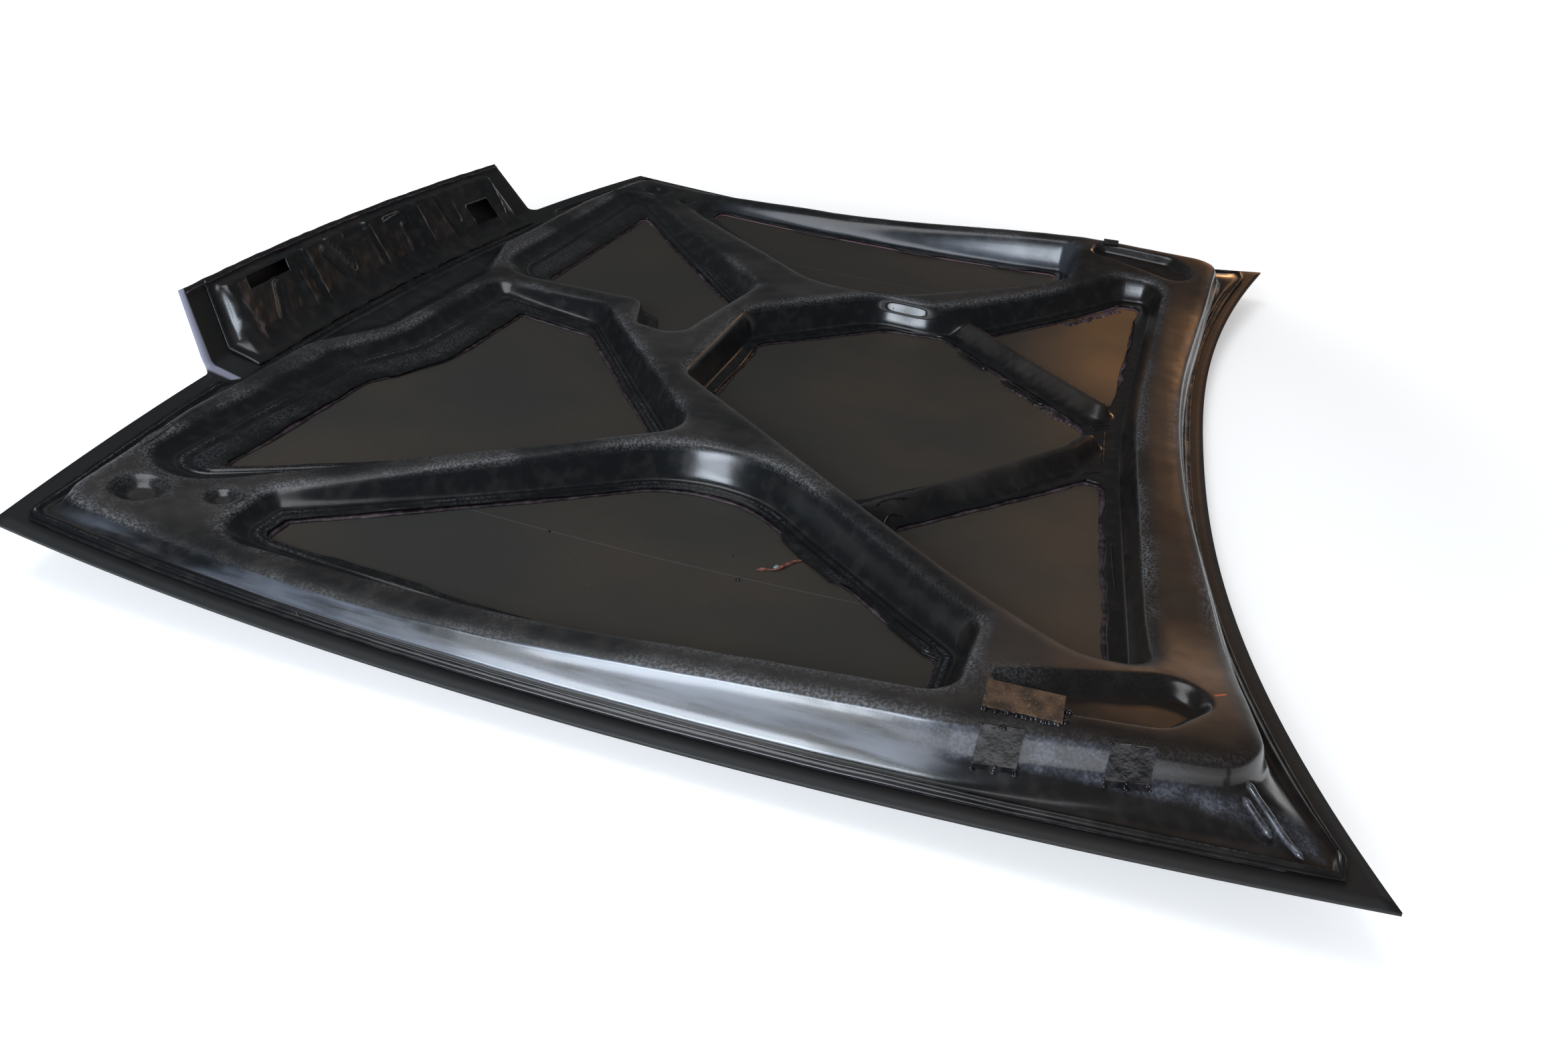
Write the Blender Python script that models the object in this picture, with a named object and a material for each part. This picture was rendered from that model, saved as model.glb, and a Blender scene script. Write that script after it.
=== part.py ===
"""Car bonnet lying on its outer face, underside up: a moulded skin with a nose tongue, and the
one-piece ribbed inner frame that is bonded into it. X runs across, Y to the nose, Z up, metres."""

import math

import bmesh
import bpy
from mathutils import Vector
from mathutils.geometry import delaunay_2d_cdt

# Outline of the skin: y = 0 at the rear corner tips, z = 0 at the level of the four tips
REAR_HALF = 0.727
FRONT_HALF = 0.702
SIDE_LENGTH = 1.104
REAR_BOW = 0.097
REAR_BOW_POWER = 2.4
FRONT_BOW = 0.069
SIDE_CURVE_POWER = 4

# How far the skin hollows below the tips
SIDE_DROP = 0.028
CROWN_REAR = 0.030
CROWN_FRONT = 0.016
FRONT_ROLL = 0.8
ROLL_LENGTH = 0.15
SKIN_THICKNESS = 0.0032

# Nose tongue, folded up along the front edge
TONGUE_BASE_HALF = 0.371
TONGUE_TOP_HALF = 0.345
TONGUE_CORNER = 0.014
TONGUE_BEND_RADIUS = 0.012
TONGUE_ANGLE = math.radians(60)
TONGUE_STRAIGHT = 0.0772

# Bonded joint between the skin and what lies on it
JOINT = 0.0022
PASTE_CLEARANCE = 0.0005
PASTE_UNDER_FLANGE = 0.008
PASTE_SQUEEZED_OUT = 0.003

# Inner frame
FRAME_THICKNESS = 0.0022
SIDE_LIP = 0.016
REAR_LIP = 0.016
FRONT_LIP = 0.020
NOSE_LIP = 0.034
BEAD_OFFSET = 0.004
BEAD_WIDTH = 0.006
BEAD_HEIGHT = 0.0025
SLOPE_FOOT = 0.013
PLATEAU_Z = -0.003
RAIL_RISE = 0.030
RAIL_RISE_START = 0.75
RAIL_RISE_END = 0.22
RAIL_RISE_INNER = 0.42
RAIL_RISE_OUTER = 0.66
LEAST_RAIL_HEIGHT = 0.014
RAIL_BLEND = 0.004
MIN_CORNER = 0.008

# Boxy foot of the rails towards the rear: how far the knee stands out and how much of the fall it takes
BOX_END = 0.315
BOX_BLEND = 0.030
KNEE_RUN = 0.010
KNEE_FALLS = (0.66, 0.86)

# Low ribs that cross the rear bay
LOW_RIBS = [
    [(-0.325, 0.450), (-0.072, 0.251), (-0.030, 0.232)],
    [(0.308, 0.442), (0.078, 0.225)],
]
LOW_RIB_TOP = 0.007
LOW_RIB_FOOT = 0.018
LOW_RIB_HEIGHT = 0.017

# Dished recesses in the plateau
HINGE_RECESS_DEPTH = 0.013
LARGE_DIMPLE = (0.612, 1.036, 0.024, 0.009)
SMALL_DIMPLE = (0.588, 0.971, 0.014, 0.005)

# Nose panel
PANEL_THICKNESS = 0.002
PANEL_FOOT_EDGE = 0.030
PANEL_FOOT_BEND = 0.018
PANEL_DEPTH = 0.010
PANEL_RIB = 0.005

# Hinge plate and bonded strips on the rails
PLATE_SIZE = (0.034, 0.057, 0.002)
PLATE_CENTRE = (-0.642, 0.251)
FAR_STRIP_SIZE = (0.030, 0.024)
FAR_STRIP_CENTRE = (0.658, 0.250)
STRIP_WIDTH = 0.030
STRIP_THICKNESS = 0.0012
STRIP_GAP = 0.0004
PLATE_GAP = 0.0006
STRIP_END = 0.35
FRONT_STRIP_Y = 0.262
REAR_STRIP_Y = 0.172

# Fineness of the moulded surfaces
SKIN_COLUMNS = (6, 16, 6)
SKIN_ROWS = 22
ARC_STEPS = 4
EDGE_STEP = 0.09
WALL_STEPS = (0.34, 0.66)
INNER_GRID = 0.12
SLIVER_HEIGHT = 2e-6
RIB_STEP = 0.055
RIB_CLEAR = 0.004


def smooth(value):
    value = min(max(value, 0.0), 1.0)
    return value * value * (3 - 2 * value)


def mix(a, b, share):
    return a + (b - a) * share


# The skin's shape


def side_half(y):
    share = min(max(y / SIDE_LENGTH, 0.0), 1.0)
    return mix(REAR_HALF, FRONT_HALF, share**SIDE_CURVE_POWER)


def rear_edge(x):
    return REAR_BOW * (1 - min(abs(x) / REAR_HALF, 1.0) ** REAR_BOW_POWER)


def front_edge(x):
    return SIDE_LENGTH + FRONT_BOW * (1 - min(abs(x) / FRONT_HALF, 1.0) ** 2)


def skin_z(x, y):
    along = y / SIDE_LENGTH
    to_front = (front_edge(x) - y) / ROLL_LENGTH
    rolled = 1 - FRONT_ROLL * min(max(1 - to_front, 0.0), 1.0) ** 2
    crown = mix(CROWN_REAR, CROWN_FRONT, along) * rolled
    across = 1 - (x / side_half(y)) ** 2
    return -SIDE_DROP * 4 * along * (1 - along) - crown * across


def tongue_point(x_share, run, lift=0.0):
    """A point of the tongue's inner face, run metres along it from the fold, lifted off it."""
    bend = TONGUE_BEND_RADIUS * TONGUE_ANGLE
    turned = min(max(run / TONGUE_BEND_RADIUS, 0.0), TONGUE_ANGLE)
    straight = max(run - bend, 0.0)
    flare = TONGUE_CORNER * (1 - min(run / bend, 1.0)) ** 2
    narrowing = straight / TONGUE_STRAIGHT
    half = mix(TONGUE_BASE_HALF, TONGUE_TOP_HALF, narrowing) + flare
    x = x_share * half
    fold_y = front_edge(x)
    forward = TONGUE_BEND_RADIUS * math.sin(turned) + straight * math.cos(turned)
    up = TONGUE_BEND_RADIUS * (1 - math.cos(turned)) + straight * math.sin(turned)
    normal = Vector((0, -math.sin(turned), math.cos(turned)))
    return Vector((x, fold_y + forward, skin_z(x, fold_y) + up)) + normal * lift


# Heights of the inner frame


def plateau_z(x, y):
    towards_rear = (RAIL_RISE_START - y) / (RAIL_RISE_START - RAIL_RISE_END)
    towards_side = (abs(x) - RAIL_RISE_INNER) / (RAIL_RISE_OUTER - RAIL_RISE_INNER)
    level = PLATEAU_Z + RAIL_RISE * smooth(towards_rear) * smooth(towards_side)
    lowest = skin_z(x, y) + LEAST_RAIL_HEIGHT
    above = level - lowest
    return lowest + (above + math.hypot(above, RAIL_BLEND)) / 2


def low_rib(x, y):
    """Height that the two low ribs add to the bonding flange."""
    here = Vector((x, y))
    aside = 1.0
    for rib in LOW_RIBS:
        line = [Vector(point[:2]) for point in fitted([(a, b, 0) for a, b in rib])]
        for start, end in zip(line, line[1:]):
            axis = end - start
            along = min(max((here - start).dot(axis) / axis.length_squared, 0.0), 1.0)
            aside = min(aside, (here - start - axis * along).length)
    return LOW_RIB_HEIGHT * smooth((LOW_RIB_FOOT - aside) / (LOW_RIB_FOOT - LOW_RIB_TOP))


def flange_z(x, y):
    return skin_z(x, y) + JOINT + FRAME_THICKNESS + low_rib(x, y)


# Outlines: corners (x, y, radius), anticlockwise, drawn with straight sides and arcs


def fitted(corners):
    """Corners drawn on paper 1.454 m wide and 1.104 m long, moved to the bonnet's own size."""
    paper_length, paper_rear_half, paper_front_half, paper_bow = 1.104, 0.727, 0.702, 0.097
    moved = []
    for x, y, radius in corners:
        share = y / paper_length
        paper_half = mix(paper_rear_half, paper_front_half, min(share, 1.0) ** SIDE_CURVE_POWER)
        level = share * SIDE_LENGTH
        half_share = x / paper_half
        towards_rear = (1 - share) ** 2 * (1 - half_share**2)
        bowed = (REAR_BOW - paper_bow) * towards_rear
        moved.append((half_share * side_half(level), level + bowed, radius))
    return moved


def mirrored(corners):
    return [(-x, y, radius) for x, y, radius in reversed(corners)]


def mirrored_sides(values):
    """Per-side values of a mirrored outline: side i runs from corner i to corner i + 1."""
    return list(reversed(values[:-1])) + [values[-1]]


FRONT_POCKET_NEAR = fitted(
    [
        (-0.634, 1.085, 0.050),
        (-0.254, 0.640, 0.050),
        (0.060, 0.884, 0.050),
        (0.072, 1.061, 0.030),
        (-0.160, 1.061, 0.080),
        (-0.262, 1.092, 0.080),
    ]
)
FRONT_POCKET_NEAR_RUN = [0.022, 0.018, 0.020, 0.025, 0.024, 0.024]
FRONT_POCKET_NEAR_FLANGE = [0.015, 0.014, 0.034, 0.048, 0.045, 0.040]

FRONT_POCKET_FAR = fitted(
    [
        (0.102, 1.088, 0.085),
        (0.094, 0.852, 0.022),
        (0.008, 0.824, 0.018),
        (-0.008, 0.758, 0.032),
        (0.244, 0.724, 0.030),
        (0.640, 1.081, 0.038),
    ]
)
FRONT_POCKET_FAR_RUN = [0.018, 0.014, 0.040, 0.020, 0.022, 0.024]
FRONT_POCKET_FAR_FLANGE = [0.014, 0.010, 0.020, 0.014, 0.018, 0.048]

SIDE_POCKET = fitted(
    [
        (-0.645, 0.948, 0.048),
        (-0.653, 0.640, 0.800),
        (-0.648, 0.298, 0.034),
        (-0.510, 0.293, 0.042),
        (-0.236, 0.598, 0.150),
        (-0.556, 0.950, 0.028),
    ]
)
SIDE_POCKET_RUN = [0.022, 0.022, 0.018, 0.022, 0.022, 0.020]
SIDE_POCKET_FLANGE = [0.012, 0.012, 0.012, 0.016, 0.016, 0.014]

REAR_BAY = fitted(
    [
        (-0.113, 0.712, 0.040),
        (-0.539, 0.215, 0.050),
        (-0.535, 0.155, 0.036),
        (0.0, 0.183, 2.500),
        (0.537, 0.155, 0.040),
        (0.543, 0.238, 0.045),
        (0.281, 0.468, 0.060),
        (0.292, 0.570, 0.090),
        (0.138, 0.713, 0.060),
    ]
)
REAR_BAY_RUN = [0.022, 0.018, 0.015, 0.015, 0.018, 0.024, 0.018, 0.020, 0.018]

CENTRE_OPENING = fitted(
    [
        (-0.078, 0.682, 0.022),
        (-0.280, 0.464, 0.024),
        (0.005, 0.205, 0.085),
        (0.268, 0.453, 0.024),
        (0.258, 0.540, 0.060),
        (0.114, 0.683, 0.030),
    ]
)

REAR_OPENING_NEAR = fitted(
    [
        (-0.318, 0.413, 0.018),
        (-0.503, 0.206, 0.012),
        (-0.503, 0.187, 0.010),
        (-0.094, 0.210, 0.016),
    ]
)

REAR_OPENING_FAR = fitted(
    [
        (0.294, 0.402, 0.018),
        (0.088, 0.208, 0.016),
        (0.503, 0.187, 0.014),
        (0.503, 0.220, 0.016),
    ]
)

HINGE_RECESS = fitted(
    [
        (-0.651, 0.273, 0.012),
        (-0.628, 0.142, 0.020),
        (-0.568, 0.104, 0.030),
        (-0.540, 0.135, 0.020),
        (-0.604, 0.281, 0.014),
    ]
)
HINGE_RECESS_RUN = [0.008, 0.012, 0.012, 0.022, 0.014]

PLATEAU_EDGE = fitted(
    [
        (-0.647, 0.080, 0.040),
        (0.0, 0.147, 2.500),
        (0.647, 0.080, 0.040),
        (0.680, 0.300, 0.150),
        (0.684, 0.800, 1.500),
        (0.655, 1.078, 0.030),
        (0.470, 1.103, 0.300),
        (0.200, 1.110, 0.060),
        (0.085, 1.074, 0.080),
        (-0.150, 1.074, 0.080),
        (-0.262, 1.114, 0.080),
        (-0.470, 1.103, 0.300),
        (-0.655, 1.078, 0.030),
        (-0.684, 0.800, 1.500),
        (-0.680, 0.300, 0.150),
    ]
)


def turns(corners):
    """Signed turn at each corner, positive where the outline turns left."""
    found = []
    for index, corner in enumerate(corners):
        before = Vector(corners[index - 1][:2])
        here = Vector(corner[:2])
        after = Vector(corners[(index + 1) % len(corners)][:2])
        into = here - before
        out = after - here
        found.append(math.atan2(into.cross(out), into.dot(out)))
    return found


def inset(corners, distances):
    """The outline with each side moved inwards by its own distance."""
    lines = []
    for index, corner in enumerate(corners):
        start = Vector(corner[:2])
        along = (Vector(corners[(index + 1) % len(corners)][:2]) - start).normalized()
        inwards = Vector((-along.y, along.x))
        lines.append((start + inwards * distances[index], along))
    moved = []
    for index, turn in enumerate(turns(corners)):
        (a, u), (b, v) = lines[index - 1], lines[index]
        point = a + u * ((b - a).cross(v) / u.cross(v))
        radius = corners[index][2]
        step = (distances[index - 1] + distances[index]) / 2
        radius = radius - step * math.copysign(1, turn)
        moved.append((point.x, point.y, max(radius, MIN_CORNER)))
    return moved


def sample_plan(corners):
    """How many points each arc and each side of an outline gets."""
    arcs = []
    sides = []
    for index, turn in enumerate(turns(corners)):
        start = Vector(corners[index][:2])
        length = (Vector(corners[(index + 1) % len(corners)][:2]) - start).length
        arcs.append(max(2, round(ARC_STEPS * abs(turn) / (math.pi / 2))))
        sides.append(max(1, round(length / EDGE_STEP)))
    return arcs, sides


def drawn(corners, plan):
    """Points along an outline, the same count for each outline drawn to one plan."""
    arcs, sides = plan
    found = []
    bends = turns(corners)
    reach = []
    for index, corner in enumerate(corners):
        here = Vector(corner[:2])
        before = (Vector(corners[index - 1][:2]) - here).length
        after = (Vector(corners[(index + 1) % len(corners)][:2]) - here).length
        tangent = corner[2] * math.tan(abs(bends[index]) / 2)
        reach.append(min(tangent, 0.48 * before, 0.48 * after))
    for index, corner in enumerate(corners):
        here = Vector(corner[:2])
        into = (here - Vector(corners[index - 1][:2])).normalized()
        out = (Vector(corners[(index + 1) % len(corners)][:2]) - here).normalized()
        start = here - into * reach[index]
        radius = reach[index] / math.tan(abs(bends[index]) / 2)
        centre = start + Vector((-into.y, into.x)) * math.copysign(radius, bends[index])
        spoke = start - centre
        for step in range(arcs[index] + 1):
            angle = bends[index] * step / arcs[index]
            turned = Vector(
                (
                    spoke.x * math.cos(angle) - spoke.y * math.sin(angle),
                    spoke.x * math.sin(angle) + spoke.y * math.cos(angle),
                )
            )
            found.append(centre + turned)
        following = corners[(index + 1) % len(corners)]
        last = found[-1]
        target = Vector(following[:2]) - out * reach[(index + 1) % len(corners)]
        for step in range(1, sides[index]):
            found.append(last.lerp(target, step / sides[index]))
    return found


# Sheets are built from rings of points and from triangulated webs between rings


class Sheet:
    def __init__(self):
        self.points = []
        self.faces = []

    def ring(self, points, height):
        first = len(self.points)
        self.points += [Vector((p.x, p.y, height(p, i))) for i, p in enumerate(points)]
        return list(range(first, len(self.points)))

    def band(self, outer, inner):
        """Quads between two rings of as many points; both run anticlockwise."""
        count = len(outer)
        for i in range(count):
            j = (i + 1) % count
            self.faces.append((outer[i], outer[j], inner[j], inner[i]))

    def web(self, outer, holes, height, inner_points=(), lines=()):
        """Triangles between an outer ring and the rings of its holes."""
        index = list(outer)
        for hole in holes:
            index += hole
        flat = [self.points[i].to_2d() for i in index]
        edges = []
        first = 0
        for loop in [outer, *holes]:
            count = len(loop)
            edges += [(first + i, first + (i + 1) % count) for i in range(count)]
            first += count
        border = [[flat[i] for i in range(a, b)] for a, b in spans([outer, *holes])]
        for point in inner_points:
            if not inside(point, border[0]) or any(inside(point, b) for b in border[1:]):
                continue
            flat.append(Vector(point))
        for line in lines:
            start = len(flat)
            flat += [Vector(point) for point in line]
            edges += [(start + i, start + i + 1) for i in range(len(line) - 1)]
        found, _, triangles, origins, _, _ = delaunay_2d_cdt(flat, edges, [], 0, 1e-7)
        known = {}
        for number, sources in enumerate(origins):
            old = [source for source in sources if source < len(index)]
            if old:
                known[number] = index[old[0]]
        for triangle in triangles:
            a, b, c = (found[i] for i in triangle)
            middle = (a + b + c) / 3
            longest = max((b - a).length, (c - b).length, (a - c).length)
            if abs((b - a).cross(c - a)) < SLIVER_HEIGHT * longest:
                continue
            if not inside(middle, border[0]) or any(inside(middle, b) for b in border[1:]):
                continue
            face = []
            for number in triangle:
                if number not in known:
                    x, y = found[number]
                    known[number] = len(self.points)
                    self.points.append(Vector((x, y, height(x, y))))
                face.append(known[number])
            self.faces.append(tuple(face))

    def mesh(self, name):
        mesh = bpy.data.meshes.new(name)
        mesh.from_pydata([tuple(p) for p in self.points], [], self.faces)
        work = bmesh.new()
        work.from_mesh(mesh)
        bmesh.ops.recalc_face_normals(work, faces=work.faces)
        is_open = any(edge.is_boundary for edge in work.edges)
        up = sum(face.normal.z * face.calc_area() for face in work.faces)
        if is_open and up < 0:
            bmesh.ops.reverse_faces(work, faces=work.faces)
        work.to_mesh(mesh)
        work.free()
        return mesh


def spans(loops):
    found = []
    first = 0
    for loop in loops:
        found.append((first, first + len(loop)))
        first += len(loop)
    return found


def inside(point, polygon):
    x, y = point[0], point[1]
    within = False
    for i, corner in enumerate(polygon):
        before = polygon[i - 1]
        if (corner[1] > y) != (before[1] > y):
            crossing = mix(corner[0], before[0], (y - corner[1]) / (before[1] - corner[1]))
            if x < crossing:
                within = not within
    return within


# Objects and materials


def material(name, colour, roughness, metallic=0.0):
    made = bpy.data.materials.new(name)
    made.use_nodes = True
    shader = made.node_tree.nodes["Principled BSDF"]
    shader.inputs["Base Color"].default_value = (*colour, 1)
    shader.inputs["Roughness"].default_value = roughness
    shader.inputs["Metallic"].default_value = metallic
    return made


def place(name, mesh, finish, parent, thickness=None, gap=None):
    piece = bpy.data.objects.new(name, mesh)
    bpy.context.scene.collection.objects.link(piece)
    piece.parent = parent
    mesh.materials.append(finish)
    mesh.shade_smooth()
    mesh.set_sharp_from_angle(angle=math.radians(35))
    if thickness:
        shell = piece.modifiers.new("thickness", "SOLIDIFY")
        shell.thickness = thickness
        shell.offset = -1 if gap is None else 1 + 2 * gap / thickness
        shell.use_even_offset = True
        shell.use_quality_normals = True
    return piece


# Outer skin


def skin_columns():
    fold = (TONGUE_BASE_HALF + TONGUE_CORNER) / FRONT_HALF
    marks = [-1.0, -fold, fold, 1.0]
    shares = [-1.0]
    for index, count in enumerate(SKIN_COLUMNS):
        for step in range(1, count + 1):
            shares.append(mix(marks[index], marks[index + 1], step / count))
    return shares


def outer_skin():
    shares = skin_columns()
    sheet = Sheet()
    rows = []
    for step in range(SKIN_ROWS + 1):
        along = step / SKIN_ROWS
        row = []
        for share in shares:
            start = rear_edge(share * REAR_HALF)
            end = front_edge(share * FRONT_HALF)
            y = mix(start, end, along)
            x = share * mix(REAR_HALF, FRONT_HALF, along**SIDE_CURVE_POWER)
            row.append(len(sheet.points))
            sheet.points.append(Vector((x, y, skin_z(x, y))))
        rows.append(row)
    for low, high in zip(rows, rows[1:]):
        for i in range(len(shares) - 1):
            sheet.faces.append((low[i], low[i + 1], high[i + 1], high[i]))
    first, last = SKIN_COLUMNS[0], SKIN_COLUMNS[0] + SKIN_COLUMNS[1]
    bend = TONGUE_BEND_RADIUS * TONGUE_ANGLE
    runs = [bend / 3, bend * 2 / 3, bend]
    runs += [bend + TONGUE_STRAIGHT * share for share in (0.33, 0.67, 1.0)]
    below = rows[-1][first : last + 1]
    for run in runs:
        row = []
        for i in range(first, last + 1):
            share = shares[i] / shares[last]
            row.append(len(sheet.points))
            sheet.points.append(tongue_point(share, run))
        for i in range(len(row) - 1):
            sheet.faces.append((below[i], below[i + 1], row[i + 1], row[i]))
        below = row
    return sheet


# Inner frame: the moulding with its ribs, pockets and recesses


def wall(sheet, rim, foot, flange=None):
    """A pocket's wall from its rim on the plateau to its foot, and its flange if it is open."""
    plan = sample_plan(rim)
    top = drawn(rim, plan)
    bottom = drawn(foot, plan)
    rim_ring = sheet.ring(top, lambda p, i: plateau_z(p.x, p.y))
    above = rim_ring
    for share in WALL_STEPS:
        middle = [a.lerp(b, share) for a, b in zip(top, bottom)]

        def height(p, i, share=share):
            high = plateau_z(top[i].x, top[i].y)
            low = flange_z(bottom[i].x, bottom[i].y)
            return mix(high, low, smooth(share))

        ring = sheet.ring(middle, height)
        sheet.band(above, ring)
        above = ring
    foot_ring = sheet.ring(bottom, lambda p, i: flange_z(p.x, p.y))
    sheet.band(above, foot_ring)
    if flange:
        edge = drawn(flange, plan)
        edge_ring = sheet.ring(edge, lambda p, i: flange_z(p.x, p.y))
        sheet.band(foot_ring, edge_ring)
    return rim_ring, foot_ring


def dish(sheet, rim, foot, depth):
    """A closed recess in the plateau."""
    plan = sample_plan(rim)
    top = drawn(rim, plan)
    bottom = drawn(foot, plan)
    rim_ring = sheet.ring(top, lambda p, i: plateau_z(p.x, p.y))
    halfway = [a.lerp(b, 0.5) for a, b in zip(top, bottom)]
    middle = sheet.ring(halfway, lambda p, i: plateau_z(p.x, p.y) - depth * 0.5)
    floor = sheet.ring(bottom, lambda p, i: plateau_z(p.x, p.y) - depth)
    sheet.band(rim_ring, middle)
    sheet.band(middle, floor)
    sheet.web(floor, [], lambda x, y: plateau_z(x, y) - depth)
    return rim_ring


def circle(x, y, radius):
    """A round outline as four corners with full arcs."""
    around = [(-1, -1), (1, -1), (1, 1), (-1, 1)]
    return [(x + radius * i, y + radius * j, radius) for i, j in around]


def perimeter():
    """The plateau's edge, and the points of the frame's own edge that face it."""
    top = drawn(PLATEAU_EDGE, sample_plan(PLATEAU_EDGE))
    edge = [edge_point(p, i, top) for i, p in enumerate(top)]
    return top, edge


def edge_point(p, i, ring):
    """The point of the frame's edge that faces point i of the plateau's edge."""
    along = ring[(i + 1) % len(ring)] - ring[i - 1]
    out = Vector((along.y, -along.x)).normalized()
    low, high = 0.0, 0.25
    for _ in range(40):
        reach = (low + high) / 2
        x, y = p + out * reach
        if covers(x, y):
            low = reach
        else:
            high = reach
    return p + out * low


def covers(x, y):
    """True where the frame may lie: inside the skin's edge by its lips."""
    near_nose = smooth((TONGUE_BASE_HALF + 2 * TONGUE_CORNER - abs(x)) / (2 * TONGUE_CORNER))
    lip = mix(FRONT_LIP, NOSE_LIP, near_nose)
    return (
        y > rear_edge(x) + REAR_LIP
        and y < front_edge(x) - lip
        and abs(x) < side_half(y) - SIDE_LIP
    )


def slope_rings(sheet):
    """The frame's outer slope, groove and bead, from the plateau's edge outwards."""
    top, edge = perimeter()
    box_end = fitted([(-REAR_HALF, BOX_END, 0)])[0][1]
    rings = []

    def at(share, knee_share, fall):
        points = []
        heights = []
        for a, b in zip(top, edge):
            length = (b - a).length
            slope = length - SLOPE_FOOT
            boxy = smooth((box_end - a.y) / BOX_BLEND)
            knee = KNEE_RUN / slope
            boxy_share = mix(knee, 1.0, knee_share)
            out = mix(share, boxy_share, boxy)
            fallen = mix(smooth(share), fall, boxy)
            point = a + (b - a).normalized() * slope * out
            foot = a + (b - a).normalized() * slope
            points.append(point)
            high = plateau_z(a.x, a.y)
            low = flange_z(foot.x, foot.y)
            heights.append(mix(high, low, fallen))
        return points, heights

    rings.append(sheet.ring(top, lambda p, i: plateau_z(p.x, p.y)))
    levels = [
        (WALL_STEPS[0], 0.0, KNEE_FALLS[0]),
        (WALL_STEPS[1], 0.4, KNEE_FALLS[1]),
        (1.0, 1.0, 1.0),
    ]
    for level in levels:
        points, heights = at(*level)
        rings.append(sheet.ring(points, lambda p, i, h=heights: h[i]))
    bead_middle = BEAD_OFFSET + BEAD_WIDTH / 2
    bead = [(BEAD_OFFSET + BEAD_WIDTH, 0.0), (bead_middle, BEAD_HEIGHT), (BEAD_OFFSET, 0.0), (0.0, 0.0)]
    for distance, lift in bead:
        points = [b - (b - a).normalized() * distance for a, b in zip(top, edge)]
        rings.append(sheet.ring(points, lambda p, i, up=lift: flange_z(p.x, p.y) + up))
    for inner, outer in zip(rings, rings[1:]):
        sheet.band(outer, inner)
    return rings


def pockets():
    """Rims, foot insets and flanges of the four outer pockets that open to the skin."""
    return [
        (FRONT_POCKET_NEAR, FRONT_POCKET_NEAR_RUN, FRONT_POCKET_NEAR_FLANGE),
        (FRONT_POCKET_FAR, FRONT_POCKET_FAR_RUN, FRONT_POCKET_FAR_FLANGE),
        (SIDE_POCKET, SIDE_POCKET_RUN, SIDE_POCKET_FLANGE),
        (mirrored(SIDE_POCKET), mirrored_sides(SIDE_POCKET_RUN), mirrored_sides(SIDE_POCKET_FLANGE)),
    ]


def openings():
    """The opening in the frame over each bare patch of skin, by name."""
    found = {}
    names = ("front_near", "front_far", "side_near", "side_far")
    for name, (rim, run, flange) in zip(names, pockets()):
        found[name] = inset(inset(rim, run), flange)
    found["centre"] = CENTRE_OPENING
    found["rear_near"] = REAR_OPENING_NEAR
    found["rear_far"] = REAR_OPENING_FAR
    return found


def inner_frame():
    sheet = Sheet()
    rings = slope_rings(sheet)
    holes = []
    for rim, run, flange in pockets():
        foot = inset(rim, run)
        rim_ring, _ = wall(sheet, rim, foot, inset(foot, flange))
        holes.append(rim_ring)
    rim_ring, bay_foot = wall(sheet, REAR_BAY, inset(REAR_BAY, REAR_BAY_RUN))
    holes.append(rim_ring)
    for recess, run in (
        (HINGE_RECESS, HINGE_RECESS_RUN),
        (mirrored(HINGE_RECESS), mirrored_sides(HINGE_RECESS_RUN)),
    ):
        holes.append(dish(sheet, recess, inset(recess, run), HINGE_RECESS_DEPTH))
    for x, y, radius, depth in (LARGE_DIMPLE, SMALL_DIMPLE):
        x, y, radius = fitted([(x, y, radius)])[0]
        for sign in (-1, 1):
            rim = circle(sign * x, y, radius)
            holes.append(dish(sheet, rim, inset(rim, [radius * 0.6] * 4), depth))
    sheet.web(rings[0], holes, plateau_z, grid_points())
    low_holes = []
    for name in ("centre", "rear_near", "rear_far"):
        outline = openings()[name]
        points = drawn(outline, sample_plan(outline))
        low_holes.append(sheet.ring(points, lambda p, i: flange_z(p.x, p.y)))
    sheet.web(bay_foot, low_holes, flange_z, (), rib_lines())
    return sheet, rings


def grid_points():
    """A loose grid that lets the wide parts of the plateau follow its rise."""
    found = []
    count = int(2 * REAR_HALF / INNER_GRID)
    for i in range(count):
        for j in range(int(SIDE_LENGTH / INNER_GRID)):
            found.append((-REAR_HALF + (i + 0.5) * INNER_GRID, (j + 0.5) * INNER_GRID))
    return found


def rib_lines():
    """Crease lines of the low ribs: the middle and both edges of the top."""
    found = []
    for rib in LOW_RIBS:
        line = [Vector(point[:2]) for point in fitted([(a, b, 0) for a, b in rib])]
        for offset in (-LOW_RIB_TOP, 0.0, LOW_RIB_TOP):
            for start, end in zip(line, line[1:]):
                along = (end - start).normalized()
                aside = Vector((-along.y, along.x)) * offset
                count = max(1, round((end - start).length / RIB_STEP))
                points = [start.lerp(end, step / count) + aside for step in range(count + 1)]
                if offset and end != line[-1]:
                    points = points[:-1]
                found.append([tuple(point) for point in points if keeps_off(point)])
    return [line for line in found if len(line) > 1]


def keeps_off(point):
    """True on the bay's floor, clear of its foot."""
    foot = inset(REAR_BAY, [run + RIB_CLEAR for run in REAR_BAY_RUN])
    return inside(point, drawn(foot, sample_plan(foot)))


# Bonding paste between the frame's flanges and the skin


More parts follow.
